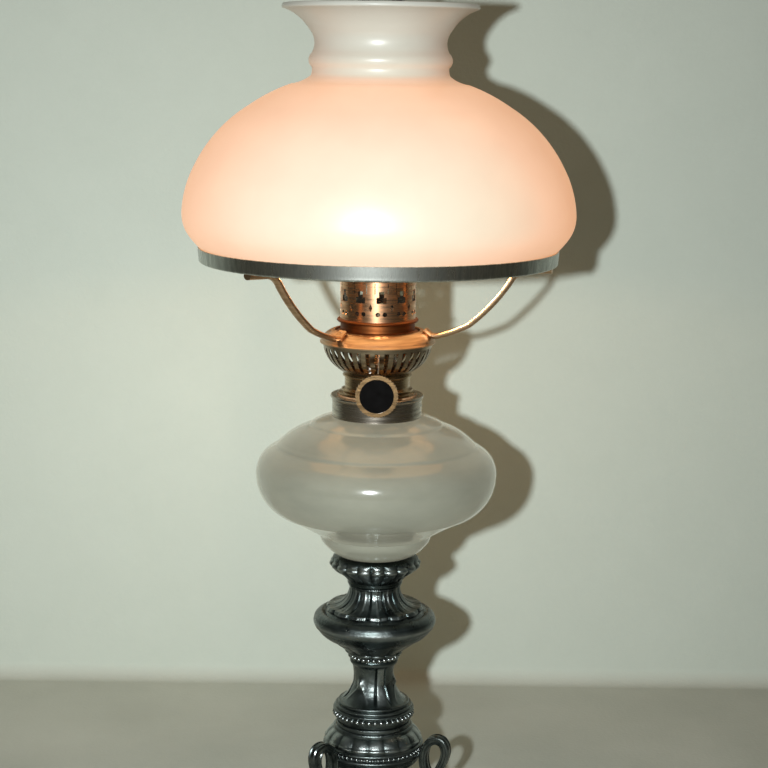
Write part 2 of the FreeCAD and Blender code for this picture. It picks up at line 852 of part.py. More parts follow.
# ---------------------------------------------------------------- burner
def basket_slots(body):
    sketch = new_sketch(body, "XZ_Plane", "slot")
    draw_outline(sketch, "slot", SHAPES["slot"])
    cut = pocket(body, sketch, "slot_cut")
    repeat(body, cut, "slots", "Z_Axis", "basket_slots")


def gallery_windows(body):
    """Pierces one bay of the crown, then repeats it: window, pair of eyes, lozenge and slits."""
    sketch = new_sketch(body, "XZ_Plane", "bay")
    for name in ("window", "lozenge", "slit_left", "slit_right"):
        draw_outline(sketch, name, SHAPES[name])
    for name in ("eye_left", "eye_right"):
        circle(sketch, name, f"{name}_x", "eye_height", "gallery_eye_radius")
    cut = pocket(body, sketch, "bay_cut")
    repeat(body, cut, "bays", "Z_Axis", "gallery_repeats")
    turn_to(body, "gallery_phase", 0)


def plate_holes(body):
    sketch = new_sketch(body, "XY_Plane", "hole")
    circle(sketch, "plate_hole", "plate_hole_circle", None, "plate_hole_radius")
    cut = pocket(body, sketch, "hole_cut")
    repeat(body, cut, "holes", "Z_Axis", "plate_holes")


def bushing_hole(body):
    sketch = new_sketch(body, "XZ_Plane", "bushing")
    circle(sketch, "bushing_hole", None, "shaft_height", "bushing_radius")
    pocket(body, sketch, "bushing_cut")


def tube_openings(body):
    """A slot for the carrier's arm in front and a window for the air duct at the back."""
    slot = new_sketch(body, "XZ_Plane", "slot")
    draw_outline(slot, "arm_slot", SHAPES["arm_slot"])
    pocket(body, slot, "slot_cut")
    window = new_sketch(body, "XZ_Plane", "window")
    draw_outline(window, "duct_window", SHAPES["duct_window"])
    pocket(body, window, "window_cut", front=False)


def cylinder(name, radius, low, height):
    """A round bar on the lamp's axis; the sizes are expressions."""
    piece = doc.addObject("Part::Cylinder", name)
    piece.setExpression("Radius", radius)
    piece.setExpression("Placement.Base.z", low)
    piece.setExpression("Height", height)
    return piece


def bar_along_y(name, radius, start, length):
    """A round bar at the shaft's height that runs along +Y from start."""
    piece = doc.addObject("Part::Cylinder", name)
    along = FreeCAD.Rotation(FreeCAD.Vector(1, 0, 0), -90)
    piece.Placement = FreeCAD.Placement(FreeCAD.Vector(), along)
    piece.setExpression("Radius", radius)
    piece.setExpression("Height", length)
    piece.setExpression("Placement.Base.y", start)
    piece.setExpression("Placement.Base.z", "Sizes.shaft_height")
    return piece


def block(name, x, y, z, length, width, height):
    """A box whose corner and sides are expressions."""
    piece = doc.addObject("Part::Box", name)
    for key, value in zip(("Base.x", "Base.y", "Base.z"), (x, y, z)):
        piece.setExpression(f"Placement.{key}", value)
    for key, value in zip(("Length", "Width", "Height"), (length, width, height)):
        piece.setExpression(key, value)
    return piece


def join(name, pieces):
    group = doc.addObject("Part::MultiFuse", name)
    group.Shapes = pieces
    return finish(group)


def take_away(name, base, tools):
    """The base without the tools, which must make it smaller."""
    for i, tool in enumerate(tools):
        last = i == len(tools) - 1
        cut = doc.addObject("Part::Cut", name if last else f"{name}_cut_{i}")
        cut.Base = base
        cut.Tool = tool
        finish(cut)
        if not cut.Shape.Volume < base.Shape.Volume - 1e-3:
            raise RuntimeError(f"{tool.Name} took nothing from {name}")
        base = cut
    NODES.append(base)
    return base


def inner_air_tube():
    tube = cylinder(
        "air_tube_wall", "Sizes.inner_tube_radius", "Sizes.air_tube_low", "Sizes.air_tube_length"
    )
    duct = block(
        "air_duct_wall",
        "-Sizes.duct_width / 2",
        "Sizes.inner_tube_bore - Sizes.duct_sheet",
        "Sizes.duct_low",
        "Sizes.duct_width",
        "Sizes.duct_end - Sizes.inner_tube_bore + Sizes.duct_sheet",
        "Sizes.duct_height",
    )
    bore = cylinder(
        "air_tube_bore",
        "Sizes.inner_tube_bore",
        "Sizes.air_tube_low + Sizes.duct_sheet",
        "Sizes.air_tube_length",
    )
    way = block(
        "air_duct_way",
        "-Sizes.duct_width / 2 + Sizes.duct_sheet",
        "Sizes.inner_tube_bore - Sizes.over",
        "Sizes.duct_low + Sizes.duct_sheet",
        "Sizes.duct_width - 2 * Sizes.duct_sheet",
        "Sizes.duct_end",
        "Sizes.duct_height - 2 * Sizes.duct_sheet",
    )
    take_away("inner_air_tube", join("air_tube_and_duct", [tube, duct]), [bore, way])


def wick():
    """The round wick: open at its seam below the flame, only its front half hangs in the font."""
    roll = cylinder("wick_roll", "Sizes.wick_radius", "Sizes.wick_tail_low", "Sizes.wick_length")
    below = "Sizes.wick_tail_low - Sizes.over"
    bore = cylinder("wick_hole", "Sizes.wick_bore", below, "Sizes.wick_length + 2 * Sizes.over")
    seam = block(
        "wick_seam",
        "-Sizes.wick_gap / 2",
        "0",
        below,
        "Sizes.wick_gap",
        "Sizes.past_wick",
        "Sizes.seam_top - Sizes.wick_tail_low + Sizes.over",
    )
    back = block(
        "wick_back",
        "-Sizes.past_wick",
        "-2 * Sizes.over",
        below,
        "2 * Sizes.past_wick",
        "Sizes.past_wick",
        "Sizes.wick_low - Sizes.wick_tail_low + Sizes.over",
    )
    take_away("wick", roll, [bore, seam, back])


def wick_carrier():
    """The split sleeve that grips the wick, with its arm to the rack."""
    sleeve = cylinder(
        "carrier_sleeve", "Sizes.carrier_radius", "Sizes.carrier_low", "Sizes.carrier_length"
    )
    arm = block(
        "carrier_arm",
        "Sizes.carrier_arm_left",
        "Sizes.pinion_face",
        "Sizes.carrier_arm_low",
        "Sizes.carrier_arm_side",
        "Sizes.carrier_arm_reach",
        "Sizes.carrier_arm_side",
    )
    below = "Sizes.carrier_low - Sizes.over"
    past = "Sizes.carrier_length + 2 * Sizes.over"
    bore = cylinder("carrier_bore", "Sizes.wick_radius", below, past)
    seam = block(
        "carrier_seam",
        "-Sizes.wick_gap / 2",
        "0",
        below,
        "Sizes.wick_gap",
        "Sizes.past_wick",
        past,
    )
    take_away("wick_carrier", join("carrier_solid", [sleeve, arm]), [bore, seam])


def wick_rack():
    """A toothed bar left of the pinion; one of its teeth stands at the shaft's height."""
    body = new_body("wick_rack")
    bar = new_sketch(body, "XZ_Plane", "bar")
    draw_outline(bar, "rack_bar", SHAPES["rack_bar"])
    pad(body, bar, "bar_pad", "pinion_width")
    tooth = new_sketch(body, "XZ_Plane", "tooth")
    draw_outline(tooth, "rack_tooth", SHAPES["rack_tooth"])
    one = pad(body, tooth, "tooth_pad", "pinion_width")
    row = body.newObject("PartDesign::LinearPattern", "wick_rack_row")
    row.Originals = [one]
    row.Direction = (origin_part(body, "Z_Axis"), [""])
    row.setExpression("Length", "Sizes.tooth_pitch * (Sizes.rack_teeth - 1)")
    row.setExpression("Occurrences", "Sizes.rack_teeth")
    body.Tip = row
    finish(row)
    body.setExpression("Placement.Base.y", "Sizes.pinion_face")
    finish(body)


def raiser_pinion():
    body = new_body("raiser_pinion")
    core = new_sketch(body, "XZ_Plane", "core")
    circle(core, "pinion_core", None, None, "pinion_root")
    pad(body, core, "core_pad", "pinion_width")
    tooth = new_sketch(body, "XZ_Plane", "tooth")
    draw_outline(tooth, "pinion_tooth", SHAPES["pinion_tooth"])
    one = pad(body, tooth, "tooth_pad", "pinion_width")
    repeat(body, one, "teeth", "Y_Axis", "pinion_teeth")
    bore = new_sketch(body, "XZ_Plane", "bore")
    circle(bore, "pinion_bore", None, None, "shaft_radius")
    pocket(body, bore, "bore_cut")
    body.setExpression("Placement.Base.y", "Sizes.pinion_face")
    body.setExpression("Placement.Base.z", "Sizes.shaft_height")
    finish(body)


def shaft_pieces():
    shaft = bar_along_y(
        "raiser_shaft",
        "Sizes.shaft_radius",
        "Sizes.shaft_outer_end",
        "Sizes.shaft_inner_end - Sizes.shaft_outer_end",
    )
    NODES.append(finish(shaft))
    sleeve = bar_along_y(
        "bushing_wall", "Sizes.bushing_radius", "Sizes.bushing_start", "Sizes.bushing_length"
    )
    hole = bar_along_y(
        "bushing_hole",
        "Sizes.bushing_bore",
        "Sizes.bushing_start - Sizes.over",
        "Sizes.bushing_length + 2 * Sizes.over",
    )
    take_away("shaft_bushing", sleeve, [hole])
    boss = bar_along_y(
        "bearing_wall", "Sizes.bearing_radius", "Sizes.bearing_face", "Sizes.bearing_length"
    )
    bore = bar_along_y(
        "bearing_bore",
        "Sizes.bushing_bore",
        "Sizes.bearing_face - Sizes.over",
        "Sizes.bearing_length + 2 * Sizes.over",
    )
    tube = cylinder(
        "bearing_seat", "Sizes.outer_tube_radius", "Sizes.tube_low", "Sizes.bushing_radius * 4"
    )
    take_away("shaft_bearing", boss, [bore, tube])


def knob():
    """The brass cup with its milled edge and hub, and the disc that lies in it."""
    body = new_body("knob_rim")
    for name, radius, depth in (
        ("hub", "knob_hub_radius", "knob_hub_depth"),
        ("cup", "knob_radius", "knob_depth"),
    ):
        sketch = new_sketch(body, "XZ_Plane", name)
        circle(sketch, f"knob_{name}", None, None, radius)
        pad(body, sketch, f"{name}_pad", depth, back=True)
    recess = new_sketch(body, "XZ_Plane", "recess")
    circle(recess, "knob_recess_circle", None, None, "knob_disc_radius")
    before = body.Shape.Volume
    cut = body.newObject("PartDesign::Pocket", "knob_rim_recess_cut")
    cut.Profile = recess
    cut.setExpression("Length", "Sizes.knob_recess")
    finish(cut)
    if not cut.Shape.Volume < before - 1:
        raise RuntimeError("the knob's recess cut nothing")
    bore = new_sketch(body, "XZ_Plane", "bore")
    circle(bore, "knob_bore", None, None, "shaft_radius")
    pocket(body, bore, "bore_cut", front=False)
    notch = new_sketch(body, "XZ_Plane", "notch")
    circle(notch, "knob_notch", "notch_circle", None, "notch_radius")
    one = pocket(body, notch, "notch_cut", front=False)
    repeat(body, one, "notches", "Y_Axis", "knob_notches")
    body.setExpression("Placement.Base.y", "Sizes.knob_face")
    body.setExpression("Placement.Base.z", "Sizes.shaft_height")
    finish(body)
    disc = bar_along_y(
        "knob_disc",
        "Sizes.knob_disc_radius",
        "Sizes.knob_face + Sizes.knob_recess - Sizes.knob_disc_thick",
        "Sizes.knob_disc_thick",
    )
    NODES.append(finish(disc))


# ---------------------------------------------------------------- shade holder
def rivet_hole(body, tag, radius_alias):
    """A plumb hole for a rivet."""
    sketch = new_sketch(body, "XY_Plane", tag)
    circle(sketch, tag, radius_alias, None, "rivet_radius")
    return pocket(body, sketch, f"{tag}_cut")


def three_rivet_holes(body, radius_alias):
    repeat(body, rivet_hole(body, "rivet", radius_alias), "rivets", "Z_Axis", "brackets")
    turn_to(body, "arm_azimuth", 0)


def holder_arm(number):
    body = new_body(f"holder_arm_{number}")
    sketch = new_sketch(body, "XZ_Plane", "side")
    draw_outline(sketch, "arm", ARM_OUTLINE)
    pad(body, sketch, "strap", "arm_width", symmetric=True)
    rivet_hole(body, "seat_hole", "seat_rivet_radius")
    rivet_hole(body, "ring_hole", "ring_rivet_radius")
    turn_to(body, "arm_azimuth", number - 1)


def arm_rivets():
    """A flush rivet through each arm and the seat, and a headed one through arm and ring."""
    reach = "Placement.Base.x"
    radius = "Sizes.rivet_radius"
    seat = cylinder("seat_rivet", radius, "Sizes.seat_rivet_low", "Sizes.seat_rivet_length")
    seat.setExpression(reach, "Sizes.seat_rivet_radius")
    finish(seat)
    shank = cylinder("ring_rivet_shank", radius, "Sizes.ring_rivet_low", "Sizes.ring_rivet_length")
    head = cylinder(
        "ring_rivet_cap",
        "Sizes.rivet_head_radius",
        "Sizes.ring_rivet_head",
        "Sizes.rivet_head_thick",
    )
    for piece in (shank, head):
        piece.setExpression(reach, "Sizes.ring_rivet_radius")
    ring = join("ring_rivet", [shank, head])
    both = doc.addObject("Part::Compound", "rivet_pair")
    both.Links = [seat, ring]
    finish(both)
    round_the_axis("arm_rivets", both, "arm_azimuth")


# ---------------------------------------------------------------- main
fill_sheet()
bodies = {label: turned(label) for label in OUTLINES}
for number in (1, 2, 3):
    scroll_bracket(number)
nut("base_nut", "Sizes.washer_face - Sizes.nut_thick", "nut_thick")
nut("crown_nut", "Sizes.cup_floor", "crown_nut_thick")
stand_holes(bodies["base_casting"], bodies["stem_knop"])
bracket_screws()
bracket_pins()
basket_slots(bodies["air_basket"])
gallery_windows(bodies["chimney_gallery"])
plate_holes(bodies["air_plate"])
bushing_hole(bodies["burner_base"])
tube_openings(bodies["outer_wick_tube"])
inner_air_tube()
wick()
wick_carrier()
wick_rack()
raiser_pinion()
shaft_pieces()
knob()
for number in (1, 2, 3):
    holder_arm(number)
three_rivet_holes(bodies["holder_seat"], "seat_rivet_radius")
three_rivet_holes(bodies["shade_ring"], "ring_rivet_radius")
arm_rivets()

os.makedirs("parts", exist_ok=True)
for node in NODES:
    if node.Shape.isNull() or not node.Shape.isValid():
        raise RuntimeError(f"{node.Label} has no sound shape")
    node.Shape.exportStep(os.path.join("parts", f"{node.Label}.step"))
    print(node.Label, len(node.Shape.Solids), round(node.Shape.Volume))
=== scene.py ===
import json
import math

import bmesh
import bpy
from mathutils import Matrix, Vector


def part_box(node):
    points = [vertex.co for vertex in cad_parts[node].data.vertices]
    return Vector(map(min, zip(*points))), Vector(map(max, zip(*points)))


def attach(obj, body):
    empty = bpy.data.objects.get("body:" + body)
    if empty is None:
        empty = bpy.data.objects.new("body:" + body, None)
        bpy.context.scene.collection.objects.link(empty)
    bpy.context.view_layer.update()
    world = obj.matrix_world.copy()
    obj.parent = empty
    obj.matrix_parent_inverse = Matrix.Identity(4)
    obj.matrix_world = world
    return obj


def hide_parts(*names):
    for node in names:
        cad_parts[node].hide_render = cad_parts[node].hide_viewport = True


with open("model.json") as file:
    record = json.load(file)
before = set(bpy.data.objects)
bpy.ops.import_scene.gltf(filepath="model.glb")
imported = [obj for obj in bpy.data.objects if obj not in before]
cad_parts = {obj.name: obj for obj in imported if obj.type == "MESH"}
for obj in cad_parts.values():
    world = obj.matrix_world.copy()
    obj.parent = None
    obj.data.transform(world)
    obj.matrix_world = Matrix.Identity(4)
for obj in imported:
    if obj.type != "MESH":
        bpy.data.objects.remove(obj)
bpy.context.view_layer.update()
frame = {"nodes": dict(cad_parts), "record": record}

# Paraffin table lamp, dressed over its CAD frame. Lengths below are millimetres unless they say
# metres, heights are above the table, and angles are degrees round the axis, 0 at +X, front at 270.
MM = 0.001
FRONT = 270.0

# ---------------------------------------------------------------- camera, measured on the photograph
IMAGE_SIZE = 768
FOCAL_PIXELS = 1840.0
SENSOR_WIDTH = 36.0
CAMERA_PLACE = (4.6, -1208.0, 535.0)
CAMERA_DOWN = 10.0
CAMERA_ROLL = 0.68
WALL_Y = 333.0
BRIGHT_SPOT = (-150.0, WALL_Y, 250.0)  # where the wall is lit best


# ---------------------------------------------------------------- mesh helpers
TURN_STEPS = 144  # facets round a turned piece, where it says nothing else
ARC_STEPS = 4  # fewest steps on an arc
SPAN_STEPS = 8  # steps between two points of a smooth path
STRAP_SHARP = 40.0  # an edge of a swept piece is sharp from this angle
MERGE_DISTANCE = 1e-6  # metres
BEAD_ROWS = 7
BEAD_COLUMNS = 12


def arc_points(start, end, sagitta, steps):
    """Points from start up to, not with, end on the arc that bows right by the sagitta."""
    start, end = Vector(start), Vector(end)
    way = end - start
    chord = way.length
    if not sagitta or steps < 2:
        return [start + way * (i / steps) for i in range(steps)]
    right = Vector((way.y, -way.x)) / chord
    half = 2 * math.atan(2 * sagitta / chord)
    radius = chord / (2 * math.sin(half))
    middle = (start + end) / 2
    points = []
    for i in range(steps):
        turn = half * (2 * i / steps - 1)
        across = radius * math.sin(turn)
        out = radius * (math.cos(turn) - math.cos(half))
        points.append(middle + way * (across / chord) + right * out)
    return points


def outline_points(outline, spacing):
    """An outline of (radius, height, sagitta) as points, about spacing apart."""
    points = []
    for i, (r, z, sagitta) in enumerate(outline):
        after = outline[(i + 1) % len(outline)][:2]
        length = math.dist((r, z), after)
        steps = max(ARC_STEPS if sagitta else 1, round(length / spacing))
        points += arc_points((r, z), after, sagitta, steps)
    return points


def smooth_path(points):
    """A smooth open line through the points."""
    points = [Vector(p) for p in points]
    ends = [2 * points[0] - points[1], *points, 2 * points[-1] - points[-2]]
    line = []
    for i in range(1, len(ends) - 2):
        a, b, c, d = ends[i - 1 : i + 3]
        for k in range(SPAN_STEPS):
            t = k / SPAN_STEPS
            cubic = (3 * (b - c) + d - a) * t**3 + (2 * a - 5 * b + 4 * c - d) * t**2
            line.append((cubic + (c - a) * t) / 2 + b)
    return [*line, points[-1]]


def new_object(name, vertices, faces, body, material, sharp=35.0, tones=None):
    """A smooth-shaded mesh object that rides on a body; tones is a shade value for each vertex."""
    mesh = bpy.data.meshes.new(name)
    mesh.from_pydata([Vector(v) * MM for v in vertices], [], faces)
    if tones:
        layer = mesh.color_attributes.new("relief", "FLOAT_COLOR", "POINT")
        for i, tone in enumerate(tones):
            layer.data[i].color = (tone, tone, tone, 1.0)
    work = bmesh.new()
    work.from_mesh(mesh)
    bmesh.ops.remove_doubles(work, verts=work.verts, dist=MERGE_DISTANCE)
    bmesh.ops.recalc_face_normals(work, faces=work.faces)
    work.to_mesh(mesh)
    work.free()
    mesh.polygons.foreach_set("use_smooth", [True] * len(mesh.polygons))
    mesh.set_sharp_from_angle(angle=math.radians(sharp))
    piece = bpy.data.objects.new(name, mesh)
    bpy.context.scene.collection.objects.link(piece)
    mesh.materials.append(material)
    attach(piece, body)
    return piece


def grid_faces(rows, columns, close_rows=True, base=0):
    """Quads of a grid of points, row by row; its columns close, and its rows where asked."""
    faces = []
    for i in range(rows if close_rows else rows - 1):
        row = base + i * columns
        row_after = base + (i + 1) % rows * columns
        for j in range(columns):
            k = (j + 1) % columns
            faces.append((row + j, row + k, row_after + k, row_after + j))
    return faces


def turned(name, outline, body, material, spacing, relief=None, steps=TURN_STEPS, sharp=35.0):
    """A turned piece; relief(angle, radius, height) gives its carving's (out, up, tone)."""
    vertices = []
    tones = []
    profile = outline_points(outline, spacing)
    for point in profile:
        for j in range(steps):
            angle = 360.0 * j / steps
            r, z, tone = point.x, point.y, 1.0
            if relief:
                out, up, tone = relief(angle, r, z)
                r, z = r + out, z + up
            a = math.radians(angle)
            vertices.append((r * math.cos(a), r * math.sin(a), z))
            tones.append(tone)
    faces = grid_faces(len(profile), steps)
    return new_object(name, vertices, faces, body, material, sharp, tones)


def swept(name, path, section, azimuth, body, material):
    """A section (out, across) swept along a (radius, height) path in the plane at an azimuth."""
    path = [Vector(p) for p in path]
    a = math.radians(azimuth)
    outward = Vector((math.cos(a), math.sin(a), 0))
    across = Vector((-math.sin(a), math.cos(a), 0))
    vertices = []
    for i, point in enumerate(path):
        before = path[i - 1] if i else point
        after = path[i + 1] if i + 1 < len(path) else point
        way = (after - before).normalized()
        right = Vector((way.y, -way.x))
        for out, side in section:
            spot = point + right * out
            vertices.append(outward * spot.x + Vector((0, 0, spot.y)) + across * side)
    columns = len(section)
    faces = grid_faces(len(path), columns, close_rows=False)
    faces.append(tuple(range(columns)))
    faces.append(tuple(range(len(vertices) - columns, len(vertices))))
    return new_object(name, vertices, faces, body, material, STRAP_SHARP)


# ---------------------------------------------------------------- shader helpers
MIX_FACTOR, MIX_FIRST, MIX_SECOND, MIX_RESULT = 0, 6, 7, 2  # colour sockets of a Mix node
MIDDLE = (0.3, 0.7)  # where most of a noise's values lie


def node_tree(name):
    """A new material and its nodes."""
    material = bpy.data.materials.new(name)
    material.use_nodes = True
    return material, material.node_tree


def surface(name, metallic=0.0, coat=0.0, coat_roughness=0.06, specular=0.5):
    """A new material with its nodes and its shader, on which these values are set."""
    material, tree = node_tree(name)
    shader = tree.nodes["Principled BSDF"]
    shader.inputs["Metallic"].default_value = metallic
    shader.inputs["Coat Weight"].default_value = coat
    shader.inputs["Coat Roughness"].default_value = coat_roughness
    shader.inputs["Specular IOR Level"].default_value = specular
    return material, tree, shader


def link(tree, source, target):
    """Joins two sockets."""
    tree.links.new(source, target)


def own_place(tree):
    """The point's place in the object's own space, in metres."""
    return tree.nodes.new("ShaderNodeTexCoord").outputs["Object"]


def noise(tree, scale, stretch=(1, 1, 1), detail=4.0, roughness=0.55):
    """Noise in the object's own space, at a scale in metres to the power -1."""
    mapping = tree.nodes.new("ShaderNodeMapping")
    mapping.inputs["Scale"].default_value = stretch
    texture = tree.nodes.new("ShaderNodeTexNoise")
    texture.inputs["Scale"].default_value = scale
    texture.inputs["Detail"].default_value = detail
    texture.inputs["Roughness"].default_value = roughness
    link(tree, own_place(tree), mapping.inputs["Vector"])
    link(tree, mapping.outputs["Vector"], texture.inputs["Vector"])
    return texture.outputs["Fac"]


def ramp(tree, value, stops):
    """A colour ramp of (position, colour) stops."""
    node = tree.nodes.new("ShaderNodeValToRGB")
    elements = node.color_ramp.elements
    while len(elements) < len(stops):
        elements.new(0.5)
    for element, (position, colour) in zip(elements, stops):
        element.position = position
        element.color = (*colour, 1.0)
    link(tree, value, node.inputs["Fac"])
    return node.outputs["Color"]


def two_tones(tree, value, dark, light, span=MIDDLE):
    """A colour that goes from dark to light over the value's span."""
    return ramp(tree, value, [(span[0], dark), (span[1], light)])


def mixed(tree, factor, first, second, how="MIX"):
    """Two colours mixed; each one is a socket or a plain colour."""
    node = tree.nodes.new("ShaderNodeMix")
    node.data_type = "RGBA"
    node.blend_type = how
    for place, value in ((MIX_FACTOR, factor), (MIX_FIRST, first), (MIX_SECOND, second)):
        socket = node.inputs[place]
        if isinstance(value, (int, float)):
            socket.default_value = value
        elif isinstance(value, tuple):
            socket.default_value = (*value, 1.0)
        else:
            link(tree, value, socket)
    return node.outputs[MIX_RESULT]


def spread(tree, value, low, high, start=MIDDLE[0], end=MIDDLE[1]):
    """The value from start to end becomes low to high."""
    node = tree.nodes.new("ShaderNodeMapRange")
    node.inputs["From Min"].default_value = start
    node.inputs["From Max"].default_value = end
    node.inputs["To Min"].default_value = low
    node.inputs["To Max"].default_value = high
    link(tree, value, node.inputs["Value"])
    return node.outputs["Result"]


def height_factor(tree, low, high):
    """0 at the low height and 1 at the high one, in millimetres."""
    split = tree.nodes.new("ShaderNodeSeparateXYZ")
    link(tree, own_place(tree), split.inputs["Vector"])
    return spread(tree, split.outputs["Z"], 0.0, 1.0, low * MM, high * MM)


def slant(tree, blend=0.5):
    """0 where the surface is seen square on, 1 where it is seen edge on."""
    weight = tree.nodes.new("ShaderNodeLayerWeight")
    weight.inputs["Blend"].default_value = blend
    return weight.outputs["Facing"]


def paint(tree, shader, colour):
    """Gives the shader its colour."""
    link(tree, colour, shader.inputs["Base Color"])


def roughen(tree, shader, value, low, high):
    """Gives the shader a roughness from low to high, by the value."""
    link(tree, spread(tree, value, low, high), shader.inputs["Roughness"])


def bump(tree, value, height, shader):
    """Bumps the shader's surface by the value; the height is in metres."""
    node = tree.nodes.new("ShaderNodeBump")
    node.inputs["Distance"].default_value = height
    link(tree, value, node.inputs["Height"])
    link(tree, node.outputs["Normal"], shader.inputs["Normal"])


def glow_with(tree, shader, colour):
    """Makes the surface give off the colour."""
    link(tree, colour, shader.inputs["Emission Color"])
    shader.inputs["Emission Strength"].default_value = 1.0


def show_blend(tree, factor, first, second):
    """Shows a blend of two shaders."""
    blend = tree.nodes.new("ShaderNodeMixShader")
    for socket, source in zip(blend.inputs, (factor, first, second)):
        link(tree, source, socket)
    link(tree, blend.outputs[0], tree.nodes["Material Output"].inputs["Surface"])


# ---------------------------------------------------------------- metals
BRUSHED = {"scale": 45.0, "stretch": (1, 1, 14)}  # marks that run round the axis
WANDER = (0.32, 0.68)  # the span between a metal's two tones
CAST_GRAIN = {"scale": 300.0, "detail": 8.0, "roughness": 0.65}
CAST_GRAIN_DEPTH = 3.4e-4  # metres
SOOT = (0.10, 0.034, 0.012)
SOOT_EDGE = 4.0  # softens the line between soot and bare metal


def worn_metal(
    name, dark, light, rough, scale=60.0, stretch=(1, 1, 1), grain=2e-5, grain_scale=900.0
):
    """Metal whose tone and gloss wander between a dull and a rubbed state; grain is in metres."""
    material, tree, shader = surface(name, metallic=1.0)
    wander = noise(tree, scale, stretch)
    paint(tree, shader, two_tones(tree, wander, dark, light, WANDER))
    roughen(tree, shader, wander, rough[1], rough[0])
    bump(tree, noise(tree, grain_scale, stretch, detail=2.0), grain, shader)
    return material


def sooted_metal():
    """Copper-washed metal, dark with soot on the faces that look towards the lamp's axis."""
    material, tree, shader = surface("sooted", metallic=1.0)
    wander = noise(tree, **BRUSHED)
    copper = two_tones(tree, wander, (0.50, 0.24, 0.12), (0.82, 0.50, 0.29), WANDER)
    face = tree.nodes.new("ShaderNodeNewGeometry")
    outward = tree.nodes.new("ShaderNodeVectorMath")
    outward.operation = "MULTIPLY"
    outward.inputs[1].default_value = (1, 1, 0)
    along = tree.nodes.new("ShaderNodeVectorMath")
    along.operation = "DOT_PRODUCT"
    link(tree, face.outputs["Position"], outward.inputs[0])
    link(tree, outward.outputs[0], along.inputs[0])
    link(tree, face.outputs["Normal"], along.inputs[1])
    outside = spread(tree, along.outputs["Value"], 0.0, 1.0, -SOOT_EDGE * MM, SOOT_EDGE * MM)
    paint(tree, shader, mixed(tree, outside, SOOT, copper))
    roughen(tree, shader, wander, 0.36, 0.20)
    return material


def cast_metal():
    """Dark patina in the hollows of the casting, rubbed bright on its high spots."""
    material, tree, shader = surface("cast_metal", metallic=1.0)
    relief = tree.nodes.new("ShaderNodeAttribute")
    relief.attribute_name = "relief"
    patina = two_tones(tree, noise(tree, 55.0), (0.018, 0.029, 0.029), (0.090, 0.108, 0.105))
    rubbed = two_tones(tree, noise(tree, 130.0), (0.24, 0.27, 0.26), (0.36, 0.38, 0.37))
    high = spread(tree, relief.outputs["Fac"], 0.0, 1.0, 0.35, 1.0)
    paint(tree, shader, mixed(tree, high, patina, rubbed))
    roughen(tree, shader, noise(tree, 90.0), 0.22, 0.42)
    bump(tree, noise(tree, **CAST_GRAIN), CAST_GRAIN_DEPTH, shader)
    return material


def cast_metal_plain():
    """The same casting where it carries no carving."""
    material, tree, shader = surface("cast_metal_plain", metallic=1.0)
    tone = two_tones(tree, noise(tree, 55.0), (0.09, 0.11, 0.105), (0.24, 0.25, 0.24))
    paint(tree, shader, tone)
    roughen(tree, shader, noise(tree, 90.0), 0.24, 0.44)
    bump(tree, noise(tree, **CAST_GRAIN), CAST_GRAIN_DEPTH, shader)
    return material


# ---------------------------------------------------------------- glass
SHADE_SPAN = (406.0, 570.0)  # heights between which the shade's glow fades
FADE = [(0.00, 0.92), (0.10, 1.0), (0.68, 1.0), (0.735, 0.40), (0.84, 0.16), (1.00, 0.02)]
CREAM_GLOW = (0.40, 0.285, 0.15)
PEACH_GLOW = (0.67, 0.285, 0.12)


def opal_glass():
    """Opal glass with a painted glow in place of the flame's light through it: creamy seen square
    on, peach at a slant.
    """
    material, tree, shader = surface("opal_glass", coat=0.12, coat_roughness=0.25)
    body = two_tones(tree, noise(tree, 18.0), (0.43, 0.435, 0.39), (0.47, 0.475, 0.43))
    paint(tree, shader, body)
    roughen(tree, shader, noise(tree, 30.0), 0.34, 0.42)
    # Painted shade: the glow turns peach where the shade is seen at a slant, and the FADE table dims
    # it by height towards the neck.
    painted_slant_tint = spread(tree, slant(tree), 0.0, 1.0, 0.03, 0.48)
    glow = mixed(tree, painted_slant_tint, CREAM_GLOW, PEACH_GLOW)
    fade = ramp(tree, height_factor(tree, *SHADE_SPAN), [(at, (v, v, v)) for at, v in FADE])
    clouds = spread(tree, noise(tree, 9.0), 0.93, 1.06)
    glow = mixed(tree, 1.0, glow, fade, "MULTIPLY")
    glow_with(tree, shader, mixed(tree, 1.0, glow, clouds, "MULTIPLY"))
    return material


def milky_glass():
    """Milky grey-green glass with faint swirls from the mould, and a painted glow that is brighter
    where it is seen edge on.
    """
    material, tree, shader = surface("font_glass", coat=0.4, coat_roughness=0.10)
    swirl = noise(tree, 26.0, stretch=(1, 1, 2.5))
    paint(tree, shader, two_tones(tree, swirl, (0.205, 0.21, 0.17), (0.245, 0.25, 0.20)))
    roughen(tree, shader, noise(tree, 40.0), 0.14, 0.24)
    shader.inputs["Subsurface Weight"].default_value = 0.25
    shader.inputs["Subsurface Radius"].default_value = (0.01, 0.01, 0.008)
    # Painted light: the glass gives off a faint glow, brighter where it is seen edge on.
    edge = spread(tree, slant(tree), 0.0, 1.0, 0.35, 0.95)
    glow_with(tree, shader, mixed(tree, edge, (0.045, 0.044, 0.033), (0.13, 0.125, 0.095)))
    bump(tree, noise(tree, 55.0), 1.2e-4, shader)
    return material


